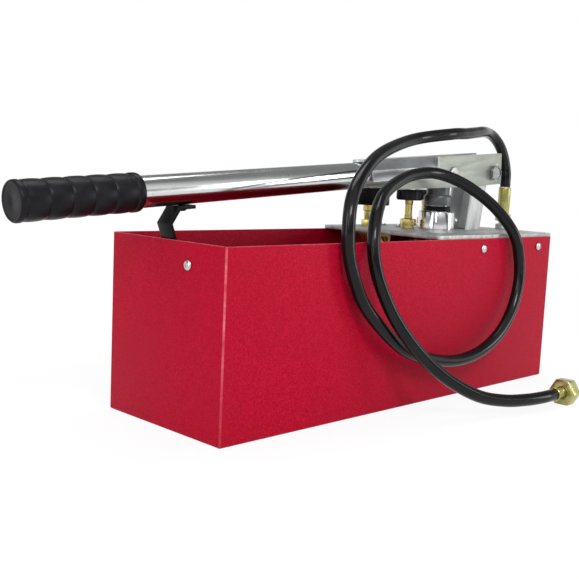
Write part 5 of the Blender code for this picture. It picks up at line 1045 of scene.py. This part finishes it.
def make_gauge():
    """Case with its rim and floor, brass connector, dial plate, lens and pointer."""
    case = turned("gauge_shell", [
        (0.0238, 0.2330), (0.0238, 0.2343), (0.0254, 0.2343), (0.0260, 0.2341),
        (0.0262, 0.2336), (0.0262, 0.2290), (0.0259, 0.2284), (0.0252, 0.2280),
        (0.0252, 0.2086), (0.0249, 0.2078), (0.0242, 0.2073), (0.0100, 0.2073),
        (0.0096, 0.2078), (0.0096, 0.2104), (0.0230, 0.2104), (0.0230, 0.2308),
        (0.0238, 0.2310)], 96, closed=True)
    floor = turned("gauge_floor", [(0.0100, 0.2075), (0.0100, 0.2104)], 48)
    shell = joined("gauge_shell", [soften(case, 0.0), soften(floor, 0.0)])
    wear(place_by(shell, GAUGE_PLACE), STRIP_PAINT, "root", "gauge_case", slot="black_paint")

    stem = turned("gauge_neck", [
        (0.0040, 0.1653), (0.0045, 0.1658), (0.0045, 0.1930), (0.0048, 0.1936),
        (0.0048, 0.1990), (0.0062, 0.2004), (0.0062, 0.2070)], 40)
    head = hexagon("gauge_hexagon", flats=0.0140, low=ON_PLATE, high=0.1890, chamfer=0.0010,
                   turn=20)
    neck = headed("gauge_connector", head, stem)
    wear(place_by(neck, GAUGE_PLACE), BRASS, "root", "gauge_stem", slot="brass")

    dial = turned("dial_plate", [(0.0228, 0.2106), (0.0228, 0.2261), (0.0226, DIAL_TOP),
                                 (0.0010, DIAL_TOP)], 96)
    set_up(dial, GAUGE_PLACE, DIAL, "root", "gauge_dial", slot="dial_white")
    make_dial_scale()
    make_dial_band()

    lens = turned("gauge_window", [
        (0.0236, 0.2312), (0.0236, 0.2326), (0.0222, 0.2329), (0.0170, 0.23305),
        (0.0100, 0.23310), (0.0010, 0.23312)], 96)
    set_up(lens, GAUGE_PLACE, GLASS, "root", "gauge_lens", slot="clear_glass")

    pointer = from_cad("gauge_pointer", 0.00008, 1)
    wear(pointer, DIAL_BLACK, "gauge_pointer", "gauge_pointer", slot="black_paint")


def make_dial_scale():
    """A mark at each step, longer at each fifth, and digits at each long tenth."""
    marks = []
    for number in range(DIAL_STEPS + 1):
        angle = math.radians(DIAL_START - DIAL_SWEEP * number / DIAL_STEPS)
        long_mark = number % 10 == 0
        inner = 0.0180 if long_mark else (0.0188 if number % 5 == 0 else 0.0194)
        slim = 0.00030 if long_mark else 0.00016
        mark = block_of("mark", (inner, -slim, DIAL_TOP), (MARK_OUTSIDE, slim, 0.2264))
        marks.append(place_by(mark, GAUGE_PLACE @ Matrix.Rotation(angle, 4, "Z")))
        if long_mark:
            at = (DIGITS_OUT * math.cos(angle), DIGITS_OUT * math.sin(angle), 0.22635)
            digits = raised_digits(str(number))
            marks.append(place_by(digits, GAUGE_PLACE @ Matrix.Translation(at)))
    wear(joined("dial_scale", marks), DIAL_BLACK, "root", slot="black_paint")


def raised_digits(words):
    """Digits as a thin mesh, centred on the origin."""
    choose()
    bpy.ops.object.text_add()
    digits = bpy.context.object
    digits.data.body = words
    digits.data.size = DIGITS_SIZE
    digits.data.align_x = "CENTER"
    digits.data.align_y = "CENTER"
    digits.data.extrude = 0.00004
    bpy.ops.object.convert(target="MESH")
    return bpy.context.object


def make_dial_band():
    """Red band over the last part of the scale."""
    low, high = 0.22632, 0.22642
    band = turned("band", [(0.0207, low), (0.0215, low), (0.0215, high), (0.0207, high)], 96,
                  closed=True)

    def bearing(face):
        centre = face.calc_center_median()
        return math.degrees(math.atan2(centre.y, centre.x)) % 360

    start_editing(band)
    pick("faces", lambda f: not BAND_FROM < bearing(f) < BAND_TO)
    bpy.ops.mesh.delete(type="FACE")
    pick("edges", lambda e: e.is_boundary)
    bpy.ops.mesh.fill_holes(sides=0)
    stop_editing()
    place_by(band, GAUGE_PLACE @ Matrix.Rotation(math.radians(BAND_TURN), 4, "Z"))
    wear(band, DIAL_RED, "root", slot="black_paint")


make_gauge()


# Lever

# The grip's swellings run from the tube side to its end, along the tube from the fulcrum
SWELLINGS = 5
SWELLING_STEPS = 12
SWELLINGS_START = -0.5378
SWELLINGS_RUN = -0.1042
GRIP_RADIUS = 0.0165
SWELLING_RISE = 0.0010
SWELLING_FULLNESS = 0.6
CREASE_RADIUS = 0.0163


def make_grip():
    """Rubber grip: a flange at each end and swellings with a crease between them."""
    rings = [(0.0149, -0.5290), (0.0160, -0.5290), (0.0169, -0.5294), (0.0174, -0.5303),
             (0.0176, -0.5316), (0.0176, -0.5356), (0.0174, -0.5362), (0.0168, -0.5366),
             (0.0168, -0.5374)]
    for wave in range(SWELLINGS):
        for step in range(SWELLING_STEPS):
            share = (step + 0.5) / SWELLING_STEPS
            swelling = SWELLING_RISE * math.sin(math.pi * share) ** SWELLING_FULLNESS
            along = SWELLINGS_START + SWELLINGS_RUN * (wave + share) / SWELLINGS
            rings.append((GRIP_RADIUS + swelling, along))
        if wave < SWELLINGS - 1:
            crease = SWELLINGS_START + SWELLINGS_RUN * (wave + 1) / SWELLINGS
            rings.append((CREASE_RADIUS, crease))
    rings += [(0.0170, -0.6424), (0.0176, -0.6430), (0.0176, -0.6456), (0.0173, -0.6468),
              (0.0166, -0.6476), (0.0156, -0.6479), (0.0150, -0.6477), (0.0144, -0.6472),
              (0.0040, -0.6472), (0.0034, -0.6469), (0.0006, -0.6468)]
    grip = turned("grip_sleeve", rings, 96)
    cut_with(grip, [turned("hole", [(0.0148, -0.5200), (0.0148, -0.6430)], 96)])
    set_up(grip, ON_TUBE, GRIP_RUBBER, "lever", "lever_grip", slot="black_rubber")


def make_tube():
    """Drawn tube with rounded edges at both ends."""
    tube = turned("chromed_tube", [
        (0.0128, -0.6426), (0.0141, -0.6426), (0.0145, -0.6422), (0.0145, -0.1062),
        (0.0141, -0.1057), (0.0128, -0.1057), (0.0125, -0.1062), (0.0125, -0.6422)],
        128, closed=True)
    set_up(tube, ON_TUBE, CHROME, "lever", "lever_tube", slot="chrome")


def make_channel():
    """Folded channel with rounded folds, and a row of weld beads to each cheek."""
    channel = from_cad("lever_channel", 0.0008, 3, 20)
    wear(channel, CHANNEL_ZINC, "lever", "lever_channel", slot="galvanised")
    count, lowest, pitch, along, aside = 11, -0.0036, 0.00155, -0.1131, 0.0178
    middle_size, drift = 0.0013, 0.0002
    for name, side in (("front", -1), ("rear", 1)):
        beads = []
        for number in range(count):
            size = middle_size + drift * math.sin(number * 2.3)
            bead = turned("bead", [(size * 0.35, -size * 0.9), (size * 0.8, -size * 0.6),
                                   (size, 0.0), (size * 0.8, size * 0.6),
                                   (size * 0.35, size * 0.9)], 16)
            at = Matrix.Translation((along, side * aside, lowest + pitch * number))
            beads.append(place_by(bead, LEVER_FRAME @ at))
        weld = soften(joined("cheek_weld_" + name, beads), 0.0)
        wear(weld, LINK_ZINC, "lever", slot="dull_zinc")


def make_cheeks():
    """Flat cheeks, pale on their cut edges: cut metal with a painted highlight on it."""
    for node in ("lever_cheek_front", "lever_cheek_rear"):
        cheek = from_cad(node, 0.00035)
        mark_cut_edges(cheek, lambda face: abs(face.normal.y) < 0.3)
        wear(cheek, CHEEK_ZINC, "lever", node, slot="dull_zinc")


def make_fulcrum():
    """Hexagon bolt with a washer face under its head, and its nut."""
    place = Matrix.Translation(FULCRUM) @ TO_FRONT
    head = hexagon("bolt_head", flats=0.0160, low=0.0212, high=0.0272, chamfer=0.0014, turn=12)
    start_editing(head)
    pick("faces", lambda f: f.normal.z > 0.9)
    bpy.ops.mesh.inset(thickness=0.0016, depth=0.0)
    bpy.ops.mesh.inset(thickness=0.0005, depth=-0.0004)
    stop_editing()
    collar = turned("collar", [(0.0076, 0.0208), (0.0080, 0.0209), (0.0080, 0.0212),
                               (0.0076, 0.0213)], 48)
    shank = turned("shank", [(0.0050, 0.0210), (0.0050, -0.0300), (0.0044, -0.0312),
                             (0.0040, -0.0318)], 40)
    bolt = place_by(headed("fulcrum_hex_bolt", head, collar, shank), place)
    wear(bolt, BOLT_ZINC, body_of("fulcrum_bolt"), "fulcrum_bolt", slot="bright_zinc")
    nut = hexagon("fulcrum_hex_nut", flats=0.0160, low=-0.0288, high=-0.0208, chamfer=0.0012,
                  turn=20)
    bored(nut, 0.0051, -0.0300, -0.0200)
    set_up(nut, place, BOLT_ZINC, body_of("fulcrum_nut"), "fulcrum_nut", slot="bright_zinc",
           edges=(HEAD_EDGE,))


make_grip()
make_tube()
make_channel()
make_cheeks()
make_fulcrum()


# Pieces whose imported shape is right: corners merged, edges rounded by the last value

KEPT_SHAPES = (
    ("pump_plate", GALVANISED, "galvanised", 0.0003),
    ("bracket_front", GALVANISED, "galvanised", 0.0003),
    ("bracket_rear", GALVANISED, "galvanised", 0.0003),
    ("latch_keeper", GALVANISED, "galvanised", 0.0002),
    ("collar_lock_screw", SCREW_ZINC, "bright_zinc", 0.0003),
    ("cylinder_barrel", POLISHED, "polished_steel", 0.0004),
    ("suction_valve_body", BRASS, "brass", 0.0004),
    ("suction_ball", POLISHED, "polished_steel", 0.0),
    ("suction_strainer", POLISHED, "polished_steel", 0.0002),
    ("piston_seal", GRIP_RUBBER, "black_rubber", 0.0003),
    ("pin_clip", BOLT_ZINC, "spring_steel", 0.0002),
    ("valve_block", BRASS, "brass", 0.0006),
    ("delivery_plug", BRASS, "brass", 0.0003),
    ("delivery_spring", SPRING_STEEL, "spring_steel", 0.0),
    ("delivery_ball", POLISHED, "polished_steel", 0.0),
    ("outlet_pipe", SCREW_ZINC, "bright_zinc", 0.0),
    ("latch_strip", STRIP_PAINT, "black_paint", 0.0004),
    ("latch_rivet", STRIP_PAINT, "black_paint", 0.0002),
    ("swing_link", LINK_ZINC, "galvanised", 0.0005),
    ("link_lug_front", CHEEK_ZINC, "dull_zinc", 0.0004),
    ("link_lug_rear", CHEEK_ZINC, "dull_zinc", 0.0004),
    ("link_base_pin", SCREW_ZINC, "bright_zinc", 0.0003),
)
LINK_FLANGE_SIDE = 0.0135


# Cut metal with a painted highlight on the flanges' edges, and painted light on the web, which
# lies in shade
def bare_on_link(face):
    """Pale on sideways faces, more so on the flanges' cut edges than on the web."""
    faces_sideways = abs(face.normal.y) < 0.5
    return faces_sideways * (1.0 if abs(face.center.y) > LINK_FLANGE_SIDE else 0.7)


def finish_kept_shapes():
    for node, look, slot, width in KEPT_SHAPES:
        piece = from_cad(node, width)
        if node == "swing_link":
            mark_cut_edges(piece, bare_on_link)
        wear(piece, look, body_of(node), node, slot=slot)


finish_kept_shapes()


# Floor, backdrop and light

# The paper is pure white to the camera from the far distance on, and shows its shadow nearer
FLOOR_SIZE = 8.0
FLOOR_DROP = 0.0002
PAPER_GREY = 0.86
WHITE_NEAR, WHITE_FAR = 0.35, 1.00
GLOW_NEAR, GLOW_FAR = 0.88, 1.00

# Grey levels by height, from level (0) to overhead (1)
LIGHT_LEVELS = ((0.0, 0.70), (0.6, 0.90), (1.0, 0.60))
FRONT_LEVELS = ((0.06, 1.0), (0.09, 0.30), (0.26, 0.36), (0.34, 1.0), (0.93, 1.0), (1.0, 0.6))
BACK_LEVELS = ((0.30, 1.0), (0.36, 0.26), (0.95, 0.22))
LIGHT_STRENGTH = 0.85
BEHIND = (0.7, 0.7, 0.0)
SOFT_BORDER = 0.12

# Lamps: name, place, size and watts
LAMPS_AIM = (0.0, 0.0, 0.12)
LAMPS = (
    ("key", (-0.9, -2.0, 2.0), (1.0, 0.6), 34),
    ("side", (-2.4, -0.2, 1.0), (0.9, 1.6), 14),
    ("strip", (1.7, -1.8, 0.55), (0.5, 0.9), 10),
    ("thin", (-1.9, -1.4, 1.3), (0.10, 1.4), 6),
    ("top", (0.3, 0.5, 2.4), (1.6, 1.0), 20),
)


def shown_rays(tree):
    """One for the rays that show a surface: to the camera, in gloss and through glass."""
    path = add_node(tree, "LightPath").outputs
    seen = maths_node(tree, "MAXIMUM", path["Is Camera Ray"], path["Is Glossy Ray"])
    return maths_node(tree, "MAXIMUM", seen, path["Is Transmission Ray"])


def make_floor():
    """White paper: pure white away from the object, with its shadow kept near it."""
    choose()
    bpy.ops.mesh.primitive_plane_add(size=FLOOR_SIZE, location=(0.0, 0.0, -FLOOR_DROP))
    floor = bpy.context.object
    floor.name = "studio_floor"
    look = bpy.data.materials.new("floor_paper")
    look.use_nodes = True
    tree = look.node_tree
    tree.nodes.clear()
    place = add_node(tree, "TexCoord").outputs["Object"]
    share = add_node(tree, "MapRange", {
        "Value": vector_node(tree, "LENGTH", place), "From Min": WHITE_NEAR,
        "From Max": WHITE_FAR, "To Min": GLOW_NEAR, "To Max": GLOW_FAR}).outputs["Result"]
    paper = add_node(tree, "BsdfDiffuse", {"Color": rgba(PAPER_GREY)})
    glow = add_node(tree, "Emission", {"Color": rgba(1.0), "Strength": 1.0})
    mixed = add_node(tree, "MixShader", {
        "Fac": maths_node(tree, "MULTIPLY", shown_rays(tree), share),
        1: paper.outputs["BSDF"], 2: glow.outputs["Emission"]})
    add_node(tree, "OutputMaterial", {"Surface": mixed.outputs["Shader"]})
    floor.data.materials.append(look)


def grey_by_height(tree, direction, levels):
    height = add_node(tree, "SeparateXYZ", {"Vector": direction}).outputs["Z"]
    return ramp_node(tree, height, levels)


def behind(tree, direction):
    """Nought towards the front left of the tank and one behind it, softly."""
    along = vector_node(tree, "DOT_PRODUCT", direction, BEHIND)
    return add_node(tree, "MapRange", {"Value": along, "From Min": -SOFT_BORDER,
                                       "From Max": SOFT_BORDER}).outputs["Result"]


def make_surroundings():
    """White walls with grey parts higher up, and a plain level of light all round."""
    world = bpy.data.worlds.new("studio")
    bpy.context.scene.world = world
    world.use_nodes = True
    tree = world.node_tree
    tree.nodes.clear()
    direction = add_node(tree, "TexCoord").outputs["Generated"]
    walls = mix_node(tree, behind(tree, direction),
                     grey_by_height(tree, direction, FRONT_LEVELS),
                     grey_by_height(tree, direction, BACK_LEVELS))
    room = add_node(tree, "Background", {"Color": walls, "Strength": 1.0})
    light = add_node(tree, "Background", {
        "Color": grey_by_height(tree, direction, LIGHT_LEVELS), "Strength": LIGHT_STRENGTH})
    mixed = add_node(tree, "MixShader", {
        "Fac": shown_rays(tree), 1: light.outputs["Background"],
        2: room.outputs["Background"]})
    add_node(tree, "OutputWorld", {"Surface": mixed.outputs["Shader"]})


make_floor()
make_surroundings()
for name, place, size, watts in LAMPS:
    add_lamp(name, place, LAMPS_AIM, size, watts)
